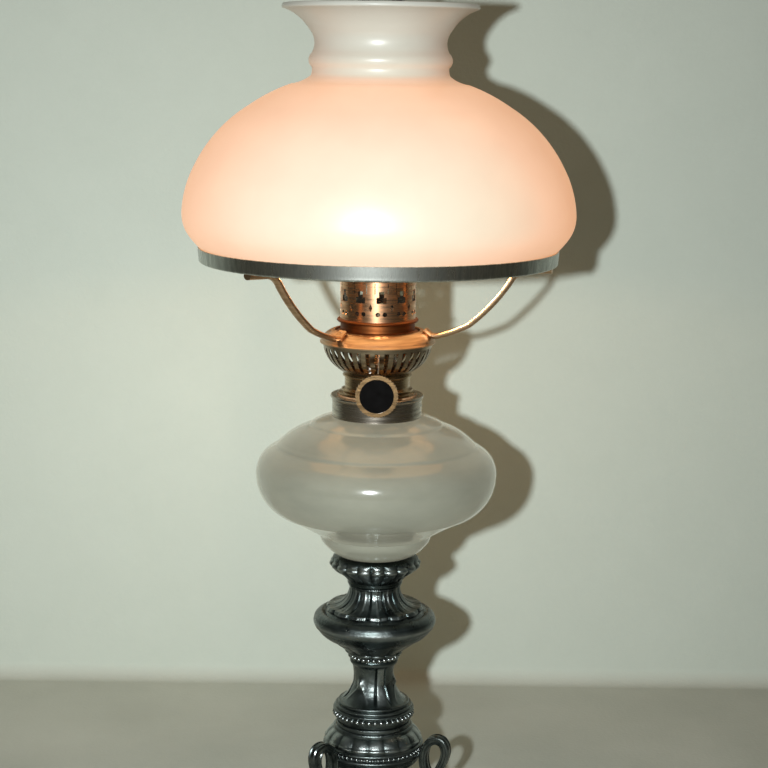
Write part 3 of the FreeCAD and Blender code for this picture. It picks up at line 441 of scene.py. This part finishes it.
def clear_glass():
    """Thin clear glass: see-through, and more solid where it is seen edge on."""
    material, tree, shader = surface("clear_glass", coat=0.5)
    tint = two_tones(tree, noise(tree, 14.0), (0.020, 0.024, 0.023), (0.032, 0.036, 0.034))
    paint(tree, shader, tint)
    roughen(tree, shader, noise(tree, 30.0), 0.02, 0.06)
    clear = tree.nodes.new("ShaderNodeBsdfTransparent")
    clear.inputs["Color"].default_value = (0.95, 0.965, 0.955, 1.0)
    solid = spread(tree, slant(tree, 0.28), 0.07, 0.85, 0.0, 1.0)
    show_blend(tree, solid, clear.outputs[0], shader.outputs[0])
    return material


# ---------------------------------------------------------------- dull materials
CHARRED_SPAN = (369.5, 371.5)  # heights between which the wick turns black


def felt():
    """Dense felt with short fibres."""
    material, tree, shader = surface("felt", specular=0.2)
    fibre = noise(tree, 700.0, detail=8.0, roughness=0.8)
    paint(tree, shader, two_tones(tree, fibre, (0.012, 0.022, 0.016), (0.045, 0.065, 0.05)))
    shader.inputs["Roughness"].default_value = 0.95
    bump(tree, fibre, 4e-4, shader)
    return material


def crumbly(name, dark, light, scale):
    """A dull porous solid, such as plaster or cork."""
    material, tree, shader = surface(name, specular=0.3)
    grain = noise(tree, scale, detail=8.0, roughness=0.7)
    paint(tree, shader, two_tones(tree, grain, dark, light, (0.35, 0.65)))
    shader.inputs["Roughness"].default_value = 0.85
    bump(tree, grain, 3e-4, shader)
    return material


def wick_cotton():
    """Cotton tape: a weave of fine ribs, charred at its top edge."""
    material, tree, shader = surface("wick_cotton", specular=0.2)
    weave = tree.nodes.new("ShaderNodeTexWave")
    weave.bands_direction = "Z"
    weave.inputs["Scale"].default_value = 280.0
    weave.inputs["Distortion"].default_value = 2.0
    link(tree, own_place(tree), weave.inputs["Vector"])
    rib = weave.outputs["Fac"]
    cotton = two_tones(tree, rib, (0.46, 0.42, 0.34), (0.72, 0.68, 0.58), (0.0, 1.0))
    charred = height_factor(tree, *CHARRED_SPAN)
    paint(tree, shader, mixed(tree, charred, cotton, (0.02, 0.017, 0.015)))
    shader.inputs["Roughness"].default_value = 0.9
    bump(tree, rib, 2e-4, shader)
    return material


def black_enamel():
    """Glossy black enamel."""
    material, tree, shader = surface("black_enamel", coat=0.6, specular=0.3)
    tone = two_tones(tree, noise(tree, 300.0), (0.0012, 0.0012, 0.0015), (0.003, 0.003, 0.0035))
    paint(tree, shader, tone)
    roughen(tree, shader, noise(tree, 200.0), 0.12, 0.16)
    return material


# ---------------------------------------------------------------- finishes
# Each worn metal has its dull colour, its rubbed colour, and its roughness rubbed and dull.
FINISHES = {
    "cast_metal": cast_metal_plain(),
    "carved": cast_metal(),
    "bead": worn_metal("bead", (0.16, 0.18, 0.175), (0.34, 0.355, 0.345), (0.20, 0.34), 200.0),
    "scroll": worn_metal(
        "scroll", (0.025, 0.034, 0.033), (0.15, 0.165, 0.158), (0.18, 0.36),
        scale=120.0, grain=1.2e-4, grain_scale=500.0,
    ),
    "steel": worn_metal("steel", (0.30, 0.30, 0.29), (0.52, 0.52, 0.51), (0.22, 0.42)),
    "felt": felt(),
    "plaster": crumbly("plaster", (0.52, 0.50, 0.44), (0.68, 0.66, 0.60), 160.0),
    "font_glass": milky_glass(),
    "collar_metal": worn_metal(
        "collar_metal", (0.32, 0.28, 0.23), (0.60, 0.54, 0.46), (0.18, 0.32), **BRUSHED
    ),
    "cork": crumbly("cork", (0.22, 0.12, 0.06), (0.46, 0.30, 0.17), 420.0),
    "burner_metal": worn_metal(
        "burner_metal", (0.22, 0.165, 0.11), (0.40, 0.31, 0.21), (0.16, 0.32), **BRUSHED
    ),
    "black_enamel": black_enamel(),
    "wick_cotton": wick_cotton(),
    "holder_metal": worn_metal(
        "holder_metal", (0.42, 0.25, 0.14), (0.66, 0.45, 0.28), (0.27, 0.40), **BRUSHED
    ),
    # The deck's deep orange is partly a painted reflection of the lamp's warm glow.
    "deck": worn_metal(
        "deck", (0.12, 0.034, 0.009), (0.23, 0.077, 0.024), (0.40, 0.52), **BRUSHED
    ),
    "knob_brass": worn_metal(
        "knob_brass", (0.21, 0.13, 0.06), (0.38, 0.24, 0.12), (0.18, 0.32), **BRUSHED
    ),
    "brass": worn_metal(
        "brass", (0.28, 0.19, 0.10), (0.50, 0.36, 0.21), (0.18, 0.32), **BRUSHED
    ),
    "sooted": sooted_metal(),
    "ring_metal": worn_metal(
        "ring_metal", (0.34, 0.35, 0.32), (0.60, 0.615, 0.565), (0.26, 0.33),
        scale=60.0, stretch=(6, 6, 1), grain=3e-5, grain_scale=500.0,
    ),
    "opal_glass": opal_glass(),
    "clear_glass": clear_glass(),
}
OWN_FINISH = {
    "burner_deck": "deck",
    "chimney_gallery": "sooted",
    "knob_rim": "knob_brass",
    "burner_base": "brass",
}


def dress_cad_nodes():
    """Every carried-over CAD node gets its own finish or that of its slot."""
    for subpart in frame["record"]["subparts"]:
        finish = OWN_FINISH.get(subpart["node"], subpart["material_slot"])
        node = frame["nodes"][subpart["node"]]
        node.data.materials.clear()
        node.data.materials.append(FINISHES[finish])


# ---------------------------------------------------------------- outlines
def top(node):
    """The height of a CAD node's top, in millimetres."""
    return round(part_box(node)[1][2] / MM, 1)


def bottom(node):
    """The height of a CAD node's underside, in millimetres."""
    return round(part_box(node)[0][2] / MM, 1)


ROD_BORE = 4.2
FOOT_TOP = top("base_casting")
KNOP_TOP = top("stem_knop")
STEM_TOP = top("lower_stem")
SAUCER_TOP = top("drip_saucer")
NECK_TOP = top("upper_stem")
CUP_TOP = top("crown_cup")
FONT_TOP = top("font_glass")
FONT_LOW = bottom("font_glass")
CHIMNEY_LOW = bottom("chimney_glass")
CHIMNEY_END = 620.6
LEDGE_LOW = bottom("shade_ring")  # the ring's ledge, which carries the shade
LEDGE_TOP = LEDGE_LOW + 1.0
RING_LOW = LEDGE_LOW - 1.0
SHADE_LOW = bottom("shade_glass")

# Outlines of the turned pieces, as closed lists of (radius, height, sagitta); the sagitta bows the
# side that starts at that point, right of its way.
FOOT = [
    (ROD_BORE, 34, 0), (20, 34, 0), (34, 24.5, 3.2), (56, 6.5, 0), (60, 5, 0), (70.5, 5, 0),
    (72.5, 3.5, 0), (72.5, 1.5, 0), (75.4, 1.5, 0.4), (76, 2.4, 0), (76, 5, 1.0), (73.6, 8.2, 0),
    (72, 9, 0), (70.4, 8.2, 0), (69, 9, 0), (60, 9, 0), (56.5, 11.6, -4.6), (31, 34, -0.9),
    (26.5, 40.5, 0.4), (26.5, FOOT_TOP, 0), (ROD_BORE, FOOT_TOP, 0),
]
KNOP = [
    (ROD_BORE, FOOT_TOP, 0), (24, FOOT_TOP, 0.3), (24, 46.5, -0.8), (20.2, 51, -1.2),
    (27.5, 58.5, 1.2), (33, 64.5, 0.2), (34.1, 66.4, 0.6), (34.0, 68.4, 0), (32.6, 69, -0.5),
    (32.6, 71, 0), (33.9, 71.6, 0.6), (33.7, 73.4, 0), (32.8, 74, 0), (33.2, 75.2, 0.5),
    (32.4, 77, 0.7), (27.2, 82.9, 0), (27.2, 84.8, 0.3), (25.4, 85.8, 0), (25.4, 87.6, 0.3),
    (24.6, KNOP_TOP, 0), (ROD_BORE, KNOP_TOP, 0),
]
LOWER_STEM = [
    (ROD_BORE, KNOP_TOP, 0), (24.2, KNOP_TOP, 0), (25.6, 91.5, -0.4), (27.4, 96.6, 0.5),
    (27.0, 98.0, 0), (26.0, 98.3, 0), (26.4, 99.4, 0.5), (25.0, 100.4, 0), (24.1, 100.7, 0),
    (24.4, 101.7, 0.5), (23.0, 102.7, 0), (21.8, 103.2, -0.9), (15.2, 111.4, -0.6),
    (13.4, 118.5, -0.4), (14.4, 127.6, 0), (15.4, 129, 0.4), (16.4, STEM_TOP, 0),
    (ROD_BORE, STEM_TOP, 0),
]
SAUCER = [
    (ROD_BORE, STEM_TOP, 0), (16.4, STEM_TOP, 0), (16.4, 132.6, 0), (15.9, 133.0, 0),
    (15.9, 136, 0), (18.6, 136.6, 0.5), (19.4, 138.6, 0), (30.4, 147, 1.0), (39.4, 154.6, 0.4),
    (40.9, 157.2, 0.5), (41.4, 160.2, 1.2), (36.8, 165.7, 0.3), (34.8, 165.4, 0),
    (33.6, 164.6, 0), (31, SAUCER_TOP, 0), (ROD_BORE, SAUCER_TOP, 0),
]
NECK = [
    (ROD_BORE, SAUCER_TOP, 0), (32.0, SAUCER_TOP, 0.5), (32.2, 168.6, 0.3), (31.2, 169.9, -3.4),
    (17.3, 180.4, -0.2), (17.4, 183.4, 0.4), (17.4, NECK_TOP, 0), (ROD_BORE, NECK_TOP, 0),
]
CUP = [
    (ROD_BORE, NECK_TOP, 0), (17.4, NECK_TOP, 0.7), (18.4, 187.2, -0.3), (19.4, 188.6, -0.3),
    (24.4, 193.2, 0.4), (29.8, 197.4, 1.3), (29.4, 201.2, 0.9), (26.4, 204.6, 0),
    (24.8, CUP_TOP, 0), (14.5, CUP_TOP, 0), (14.5, 188, 0), (ROD_BORE, 188, 0),
]
FONT = [
    (0.3, FONT_LOW, 0), (12, FONT_LOW, 0), (12, CUP_TOP, 0), (24.4, 205.6, 0.9), (34.4, 213, 0.8),
    (37.6, 219.8, 0.1), (38.6, 220.5, -0.6), (66.5, 236, 3.4), (80.5, 259.5, 2.0),
    (75.2, 275.4, 0.2), (67.3, 280.5, 0.25), (64.6, 283.4, 1.0), (49.4, 292.8, 0.1),
    (44.6, 294.8, 0.2), (42.4, 296.7, 0.5), (29.9, 300.8, 0), (24.5, 300.8, 0),
    (24.5, FONT_TOP, 0), (20.8, FONT_TOP, 0), (20.8, 300, 0), (38.6, 294.4, 0), (60.4, 281.6, 0),
    (71, 273.4, -1.8), (76.4, 259.5, -2.9), (63.6, 238.6, -0.6), (37, 224.6, 0), (30, 214.4, 0),
    (0.3, 211.5, 0),
]
SHADE = [
    (112.4, SHADE_LOW, 0.5), (114.8, SHADE_LOW, 0), (116.8, 412.8, 0.5), (125.8, 423.5, 1.1),
    (128.8, 437.6, 1.6), (120.4, 466.5, 3.7), (84.9, 505.3, 1.0), (57.6, 519.2, -1.0),
    (45.2, 524.6, -0.3), (44.4, 529.6, 2.3), (44.4, 539.2, -2.3), (46.1, 553.7, -1.9),
    (62.8, 567.0, 0.7), (63.6, 569.2, 0.8), (61.6, 570, 1.9), (44.2, 555, 1.7),
    (42.0, 538.6, -0.4), (42.0, 525, 1.2), (56.4, 516.4, -1.0), (83.2, 502.2, -3.7),
    (117.4, 465.4, -1.5), (125.6, 437.6, -1.0), (122.8, 425.4, -0.8),
]
CHIMNEY = [
    (22.6, CHIMNEY_LOW, 0), (24.15, CHIMNEY_LOW, 0), (24.15, 414, 0.9), (21, 426, 0),
    (17.6, 432.4, -0.8), (15.4, 442, 0), (15.2, CHIMNEY_END, 0.5), (13.7, CHIMNEY_END, 0),
    (13.9, 442, 0.8), (16.3, 431.8, 0), (19.5, 425.6, -0.8), (22.6, 413.6, 0),
]
RING = [
    (113.6, RING_LOW, 0), (116.6, RING_LOW, 0.5), (117.9, 405.4, 0), (118.6, 413.2, 0.3),
    (117.6, 413.2, 0), (117.0, 409, -0.8), (113.6, LEDGE_TOP, 0), (108.5, LEDGE_TOP, 0),
    (108.5, LEDGE_LOW, 0), (113.6, LEDGE_LOW, 0),
]

# Middle lines of the swept pieces: the arms' (radius, height, sagitta) and the scrolls' smooth
# (radius, height) line, both from their foot to their other end.
ARM_LINE = [
    (32, 360.1, 0), (36.9, 356.5, 0), (40.7, 356.5, 0.6), (61.5, 364.7, 1.6), (88.6, 394.6, -1.8),
    (99.5, 402.0, 0), (115.5, 402.6, 0),
]
SCROLL_LINE = [
    (67.5, 9.6), (63, 14), (57.5, 22), (52, 33), (46.2, 43), (40.4, 52), (37.2, 60), (37.0, 68),
    (39.4, 74.8), (44.4, 78.6), (49.6, 77.6), (52.2, 72.4), (51.4, 66), (48.6, 59.5), (45.6, 54),
    (43.4, 50.2),
]


# ---------------------------------------------------------------- carving
PLAIN_WALL = (0.0, 0.0, 0.2)  # no relief, and the tone of a hollow


def lobe(angle, count, phase=0.0):
    """0 in the grooves between count lobes round the axis, 1 on their crests."""
    return abs(math.cos(math.radians((angle - FRONT - phase) * count / 2)))


def rise(value, low, high):
    """0 below low, 1 above high, smooth between."""
    t = min(max((value - low) / (high - low), 0.0), 1.0)
    return t * t * (3 - 2 * t)


def hill(value, low, high, edge):
    """1 between low and high, 0 outside, with soft edges."""
    return rise(value, low, low + edge) * (1 - rise(value, high - edge, high))


def peak(value, width):
    """1 at 0, falling off over about the width to both sides."""
    return math.exp(-((value / width) ** 2))


def off_motif(angle, count, phase):
    """Signed degrees from the nearest of count motifs round the axis, one at the phase."""
    step = 360.0 / count
    return (angle - FRONT - phase + step / 2) % step - step / 2


def foot_leaves(angle, r, z):
    """Broad gadroons over the dome of the foot, and fine ribs on the neck above it."""
    dome = hill(z, 12.5, 33.0, 4.0) * (r > 30)
    crest = lobe(angle, 24) ** 0.7
    ribs = hill(z, 33.0, 43.0, 2.0) * (r > 24) * lobe(angle, 36) ** 0.8
    out = 1.3 * dome * (crest - 0.6) + 0.5 * ribs
    up = 1.0 * dome * (crest - 0.6)
    return out, up, 0.25 + 0.75 * max(crest * dome, ribs)


def knop_leaves(angle, _r, z):
    """Pointed leaf tips hanging over the knop, and fine lobes round its foot."""
    tips = hill(z, 73.0, 84.0, 2.5)
    crest = lobe(angle, 18, 4.0)
    foot = hill(z, 47.5, 60.0, 3.0)
    lobes = foot * lobe(angle, 24) ** 0.8
    out = 0.9 * tips * (crest**0.6 - 0.7) + 0.7 * (lobes - 0.4) * foot
    tone = 0.45 + 0.55 * crest * tips if tips else 0.55
    return out, 0.0, tone


def stem_tongues(angle, _r, z):
    """Three raised tongues with a groove at each side, and a pointed nub between them."""
    along = hill(z, 102.5, 130.0, 3.0)
    off = off_motif(angle, 3, 20.0)
    half = 15.0 - 3.0 * rise(z, 104.0, 128.0)
    groove = peak(abs(off) - half, 2.6) * along
    tongue = (1 - rise(abs(off), half - 3.0, half)) * along
    between = abs(off_motif(angle, 3, 80.0))
    nub = peak(between, 10.0) * peak(z - 116.5, 3.0)
    leaf = peak(between - 28.0 * (1 - rise(z, 103.0, 119.0)), 3.0) * hill(z, 103.0, 118.0, 3.0)
    out = 0.5 * tongue - 0.95 * groove + 2.0 * nub + 0.45 * leaf
    return out, 0.0, 0.5 + 0.4 * tongue + 0.5 * nub + 0.3 * leaf - 0.5 * groove


def saucer_leaves(angle, _r, z):
    """Short leaves under the saucer; its brim is plain."""
    under = hill(z, 131.8, 150.0, 5.0)
    crest = lobe(angle, 12, 8.0)
    brim = peak(z - 158.5, 2.2) if z < 162 else 0.3
    return 1.2 * under * (crest**0.7 - 0.65), 0.0, 0.35 + 0.3 * under * crest + 0.5 * brim


def neck_leaves(angle, _r, z):
    """Fourteen leaves that flare from the neck, each with a midrib and a rounded end."""
    crest = lobe(angle, 14, 5.0)
    flare = 1 - rise(z, 169.0, 183.0)
    ends = 1 - rise(z, 167.0, 170.0)
    midrib = rise(crest, 0.96, 1.0)
    along = 1 - rise(z, 182.0, 184.0)
    groove = 1 - rise(crest, 0.0, 0.32)
    cut = (0.55 + 0.65 * flare) * groove
    out = along * (0.35 * midrib - cut) + 1.3 * ends * (crest**0.5 - 0.75)
    return out, 0.0, 0.55 + 0.35 * midrib + 0.35 * ends * crest - 0.55 * groove * along


def cup_gadroons(angle, _r, z):
    """Plump upright lobes round the cup that holds the font."""
    wall = hill(z, 188.5, 204.5, 4.0)
    crest = lobe(angle, 20, 4.0) ** 0.62
    return wall * (1.9 * crest - 1.75), 0.0, 0.3 + 0.7 * crest * wall


# ---------------------------------------------------------------- pieces
# Piece, CAD node that it replaces, outline, carving, and the radius inside which it is plain.
CASTINGS = [
    ("foot_cast", "base_casting", FOOT, foot_leaves, 0),
    ("knop_cast", "stem_knop", KNOP, knop_leaves, 19),
    ("lower_stem_cast", "lower_stem", LOWER_STEM, stem_tongues, 12),
    ("saucer_cast", "drip_saucer", SAUCER, saucer_leaves, 14),
    ("neck_cast", "upper_stem", NECK, neck_leaves, 12),
    ("cup_cast", "crown_cup", CUP, cup_gadroons, 15),
]

# Name, count, radius of the row, its height, radius of a bead, and angle of the first bead.
ROWS_OF_BEADS = [
    ("saucer_beads", 28, 16.2, 134.5, 1.75, FRONT),
    ("stem_beads", 40, 26.4, 93.9, 1.75, FRONT + 3),
    ("knop_beads", 56, 32.9, 70.0, 1.25, FRONT),
    ("foot_beads", 96, 73.8, 6.6, 1.5, FRONT),
]
SCROLL_THICK = 5.4
SCROLL_WIDTH = 9.0
BRACKET_AZIMUTH = 222  # of the first of three
ARM_AZIMUTH = 226
ARM_STEPS = 10  # between two points of an arm's line


def stands_for(node):
    """Hides the CAD node that the piece replaces."""
    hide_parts(node)


def thirds(first):
    """Three azimuths, numbered from 1, at even steps from the first."""
    return enumerate([(first + 120 * k) % 360 for k in range(3)], 1)


def carved(name, node, outline, carving, core):
    """A casting carved over its CAD outline, plain inside the core's radius."""

    def relief(angle, r, z):
        return PLAIN_WALL if r < core else carving(angle, r, z)

    piece = turned(
        name, outline, "stand", FINISHES["carved"], 0.8, relief, steps=288, sharp=55.0
    )
    stands_for(node)


def beads(name, count, radius, height, bead, first):
    """A row of round beads half sunk in the casting."""
    vertices = []
    faces = []
    for k in range(count):
        a = math.radians(first + 360.0 * k / count)
        base = len(vertices)
        for i in range(BEAD_ROWS):
            lift = math.pi * (i / (BEAD_ROWS - 1) - 0.5)
            for j in range(BEAD_COLUMNS):
                turn = 2 * math.pi * j / BEAD_COLUMNS
                x = radius + bead * math.cos(lift) * math.cos(turn)
                y = bead * math.cos(lift) * math.sin(turn)
                spot = (x * math.cos(a) - y * math.sin(a), x * math.sin(a) + y * math.cos(a))
                vertices.append((*spot, height + bead * math.sin(lift)))
        faces += grid_faces(BEAD_ROWS, BEAD_COLUMNS, close_rows=False, base=base)
    piece = new_object(name, vertices, faces, "stand", FINISHES["bead"])


def stand():
    """The cast foot and baluster, carved over their CAD outlines, with four rows of beads."""
    for casting in CASTINGS:
        carved(*casting)
    for row in ROWS_OF_BEADS:
        beads(*row)


def grooved_band(thick, width):
    """Section of a cast band with a groove along each face: (out, across) points."""
    half, side = thick / 2, width / 2
    corner, groove = 0.9, 0.55
    quarter = [
        (half, 0.0),
        (half, side * 0.28),
        (half - groove, side * 0.42),
        (half - groove, side * 0.58),
        (half, side * 0.72),
        (half, side - corner),
        (half - 0.3 * corner, side - 0.3 * corner),
        (half - corner, side),
        (half * 0.45, side),
        (half * 0.28, side - groove),
        (0.0, side - groove),
    ]
    far = quarter + [(-out, across) for out, across in reversed(quarter[:-1])]
    return far + [(out, -across) for out, across in reversed(far[1:-1])]


def half_round_strap():
    """Section of an arm, rounded outside and flat with bevelled edges inside."""
    side, dome, rounds = 3.25, 2.3, 12
    sink, flank, back, bevel = 0.1, -0.7, -1.4, 0.7
    arch = []
    for i in range(rounds + 1):
        turn = math.pi * i / rounds
        arch.append((dome * math.sin(turn) - sink, side * math.cos(turn)))
    inside = [(flank, -side), (back, -side + bevel), (back, side - bevel)]
    return [(flank, side), *arch, *inside]


def scrolls():
    """Three brackets: a grooved band that climbs from the foot and turns back in a drop's loop."""
    path = smooth_path(SCROLL_LINE)
    section = grooved_band(SCROLL_THICK, SCROLL_WIDTH)
    for number, azimuth in thirds(BRACKET_AZIMUTH):
        band = swept(f"scroll_{number}", path, section, azimuth, "stand", FINISHES["scroll"])
        stands_for(f"scroll_bracket_{number}")


def glassware():
    """The font, the shade and the chimney."""
    font = turned("font_bowl", FONT, "stand", FINISHES["font_glass"], 1.5, sharp=60.0)
    stands_for("font_glass")
    shade = turned(
        "opal_shade", SHADE, "shade", FINISHES["opal_glass"], 2.0, steps=192, sharp=60.0
    )
    stands_for("shade_glass")
    chimney = turned(
        "chimney", CHIMNEY, "chimney", FINISHES["clear_glass"], 2.5, steps=96, sharp=60.0
    )
    stands_for("chimney_glass")


def shade_holder():
    """The ring's broad band, and three half-round straps that run up to it from the seat."""
    ring = turned("ring_band", RING, "holder", FINISHES["ring_metal"], 2.0, steps=192)
    stands_for("shade_ring")
    line = []
    for (r, z, sagitta), end in zip(ARM_LINE, ARM_LINE[1:]):
        line += arc_points((r, z), end[:2], sagitta, ARM_STEPS)
    line.append(ARM_LINE[-1][:2])
    section = half_round_strap()
    for number, azimuth in thirds(ARM_AZIMUTH):
        arm = swept(f"arm_{number}", line, section, azimuth, "holder", FINISHES["holder_metal"])
        stands_for(f"holder_arm_{number}")


# ---------------------------------------------------------------- stage
STAGE_REACH = 4000.0
WALL_TOP = 3200.0
COVE_RADIUS = 14.0  # where the table meets the wall
COVE_STEPS = 8
TABLE_TOP_SPAN = (0.0, 12.0)  # heights between which the table's colour becomes the wall's
WALL_COLOURS = ((0.665, 0.735, 0.655), (0.69, 0.76, 0.68))
TABLE_COLOURS = ((0.56, 0.585, 0.515), (0.64, 0.665, 0.59))
# Painted light on the stage: its colour falls to this level at this distance from the bright spot.
PAINTED_FALLOFF_DISTANCE = 770.0  # from the bright spot to where the stage is dimmest
PAINTED_FALLOFF_LEVEL = 0.5


def backdrop_material():
    """Matt table and wall, painted dimmer away from the bright spot as a pool of light, and not seen
    from behind.
    """
    material, tree = node_tree("backdrop")
    shader = tree.nodes["Principled BSDF"]
    shader.inputs["Specular IOR Level"].default_value = 0.1
    shader.inputs["Roughness"].default_value = 0.9
    wall = two_tones(tree, noise(tree, 22.0, detail=10.0, roughness=0.75), *WALL_COLOURS)
    table = two_tones(tree, noise(tree, 9.0, detail=6.0), *TABLE_COLOURS)
    bare = mixed(tree, height_factor(tree, *TABLE_TOP_SPAN), table, wall)
    away = tree.nodes.new("ShaderNodeVectorMath")
    away.operation = "DISTANCE"
    away.inputs[1].default_value = Vector(BRIGHT_SPOT) * MM
    link(tree, own_place(tree), away.inputs[0])
    # Painted light: the stage's colour dims with distance from the bright spot.
    painted_falloff = spread(tree, away.outputs["Value"], 1.0, PAINTED_FALLOFF_LEVEL, 0.0, PAINTED_FALLOFF_DISTANCE * MM)
    paint(tree, shader, mixed(tree, 1.0, bare, painted_falloff, "MULTIPLY"))
    bump(tree, noise(tree, 300.0), 3e-4, shader)
    clear = tree.nodes.new("ShaderNodeBsdfTransparent")
    face = tree.nodes.new("ShaderNodeNewGeometry")
    show_blend(tree, face.outputs["Backfacing"], shader.outputs[0], clear.outputs[0])
    return material


def plain_stage():
    """Table and wall in one sheet with a small cove."""
    line = [(-STAGE_REACH, 0.0)]
    for i in range(COVE_STEPS + 1):
        turn = math.pi / 2 * i / COVE_STEPS
        y = WALL_Y - COVE_RADIUS + COVE_RADIUS * math.sin(turn)
        line.append((y, COVE_RADIUS - COVE_RADIUS * math.cos(turn)))
    line.append((WALL_Y, WALL_TOP))
    vertices = [Vector((x, y, z)) * MM for y, z in line for x in (-STAGE_REACH, STAGE_REACH)]
    faces = [(2 * i, 2 * i + 1, 2 * i + 3, 2 * i + 2) for i in range(len(line) - 1)]
    mesh = bpy.data.meshes.new("backdrop")
    mesh.from_pydata(vertices, [], faces)
    mesh.polygons.foreach_set("use_smooth", [True] * len(faces))
    mesh.materials.append(backdrop_material())
    stage = bpy.data.objects.new("backdrop", mesh)
    bpy.context.scene.collection.objects.link(stage)


# ---------------------------------------------------------------- lights and camera
KEY_PLACE = (-107, -1195, 533)
KEY_ANGLE = 115.0
KEY_SOFTNESS = 0.7

# Name, place, power in watts, colour and radius of the source.
KEY_LAMP = ("key", KEY_PLACE, 68.0, (0.94, 0.99, 1.0), 13.0)
POINT_LAMPS = [
    ("flame", (0, 0, 428), 0.85, (1.0, 0.58, 0.30), 9.0),
    ("under_glow", (0, 0, 347), 0.12, (1.0, 0.36, 0.12), 6.0),
    ("window", (-930, -780, 560), 0.9, (1.0, 0.93, 0.82), 7.0),
    ("back", (500, 220, 1400), 2.5, (1.0, 0.80, 0.60), 150.0),
]
ROOM_LIGHT = (0.150, 0.110, 0.072)
ROOM_IN_GLOSS = (0.050, 0.060, 0.057)
ROOM_SEEN = (0.23, 0.235, 0.205)


def lamp(kind, name, place, power, colour, size):
    """A light with a round source."""
    data = bpy.data.lights.new(name, kind)
    data.energy = power
    data.color = colour
    data.shadow_soft_size = size * MM
    light = bpy.data.objects.new(name, data)
    light.location = Vector(place) * MM
    bpy.context.scene.collection.objects.link(light)
    return light


def lights():
    """A small key left of the camera, the flame's own warm light under the shade, and fill."""
    key = lamp("SPOT", *KEY_LAMP)
    key.data.spot_size = math.radians(KEY_ANGLE)
    key.data.spot_blend = KEY_SOFTNESS
    aim = Vector(BRIGHT_SPOT) - Vector(KEY_PLACE)
    key.rotation_euler = aim.to_track_quat("-Z", "Y").to_euler()
    for point_lamp in POINT_LAMPS:
        lamp("POINT", *point_lamp)


def room():
    """A dim, warm room round the stage."""
    world = bpy.data.worlds.new("room")
    bpy.context.scene.world = world
    world.use_nodes = True
    tree = world.node_tree
    path = tree.nodes.new("ShaderNodeLightPath")
    colour = mixed(tree, path.outputs["Is Glossy Ray"], ROOM_LIGHT, ROOM_IN_GLOSS)
    colour = mixed(tree, path.outputs["Is Camera Ray"], colour, ROOM_SEEN)
    link(tree, colour, tree.nodes["Background"].inputs["Color"])


def camera():
    """The photograph's view: place, tilt and lean measured on it."""
    down, roll = math.radians(CAMERA_DOWN), math.radians(CAMERA_ROLL)
    ahead = Vector((0, math.cos(down), -math.sin(down)))
    up = Vector((0, math.sin(down), math.cos(down)))
    side = Vector((1, 0, 0))
    image_x = side * math.cos(roll) + up * math.sin(roll)
    image_y = up * math.cos(roll) - side * math.sin(roll)
    data = bpy.data.cameras.new("camera")
    data.sensor_width = SENSOR_WIDTH
    data.lens = FOCAL_PIXELS / IMAGE_SIZE * data.sensor_width
    eye = bpy.data.objects.new("camera", data)
    axes = Matrix((image_x, image_y, -ahead)).transposed()
    eye.matrix_world = Matrix.Translation(Vector(CAMERA_PLACE) * MM) @ axes.to_4x4()
    bpy.context.scene.collection.objects.link(eye)
    bpy.context.scene.camera = eye


# ---------------------------------------------------------------- build
dress_cad_nodes()
stand()
scrolls()
glassware()
shade_holder()
plain_stage()
lights()
room()
camera()
bpy.context.scene.view_settings.view_transform = "Standard"
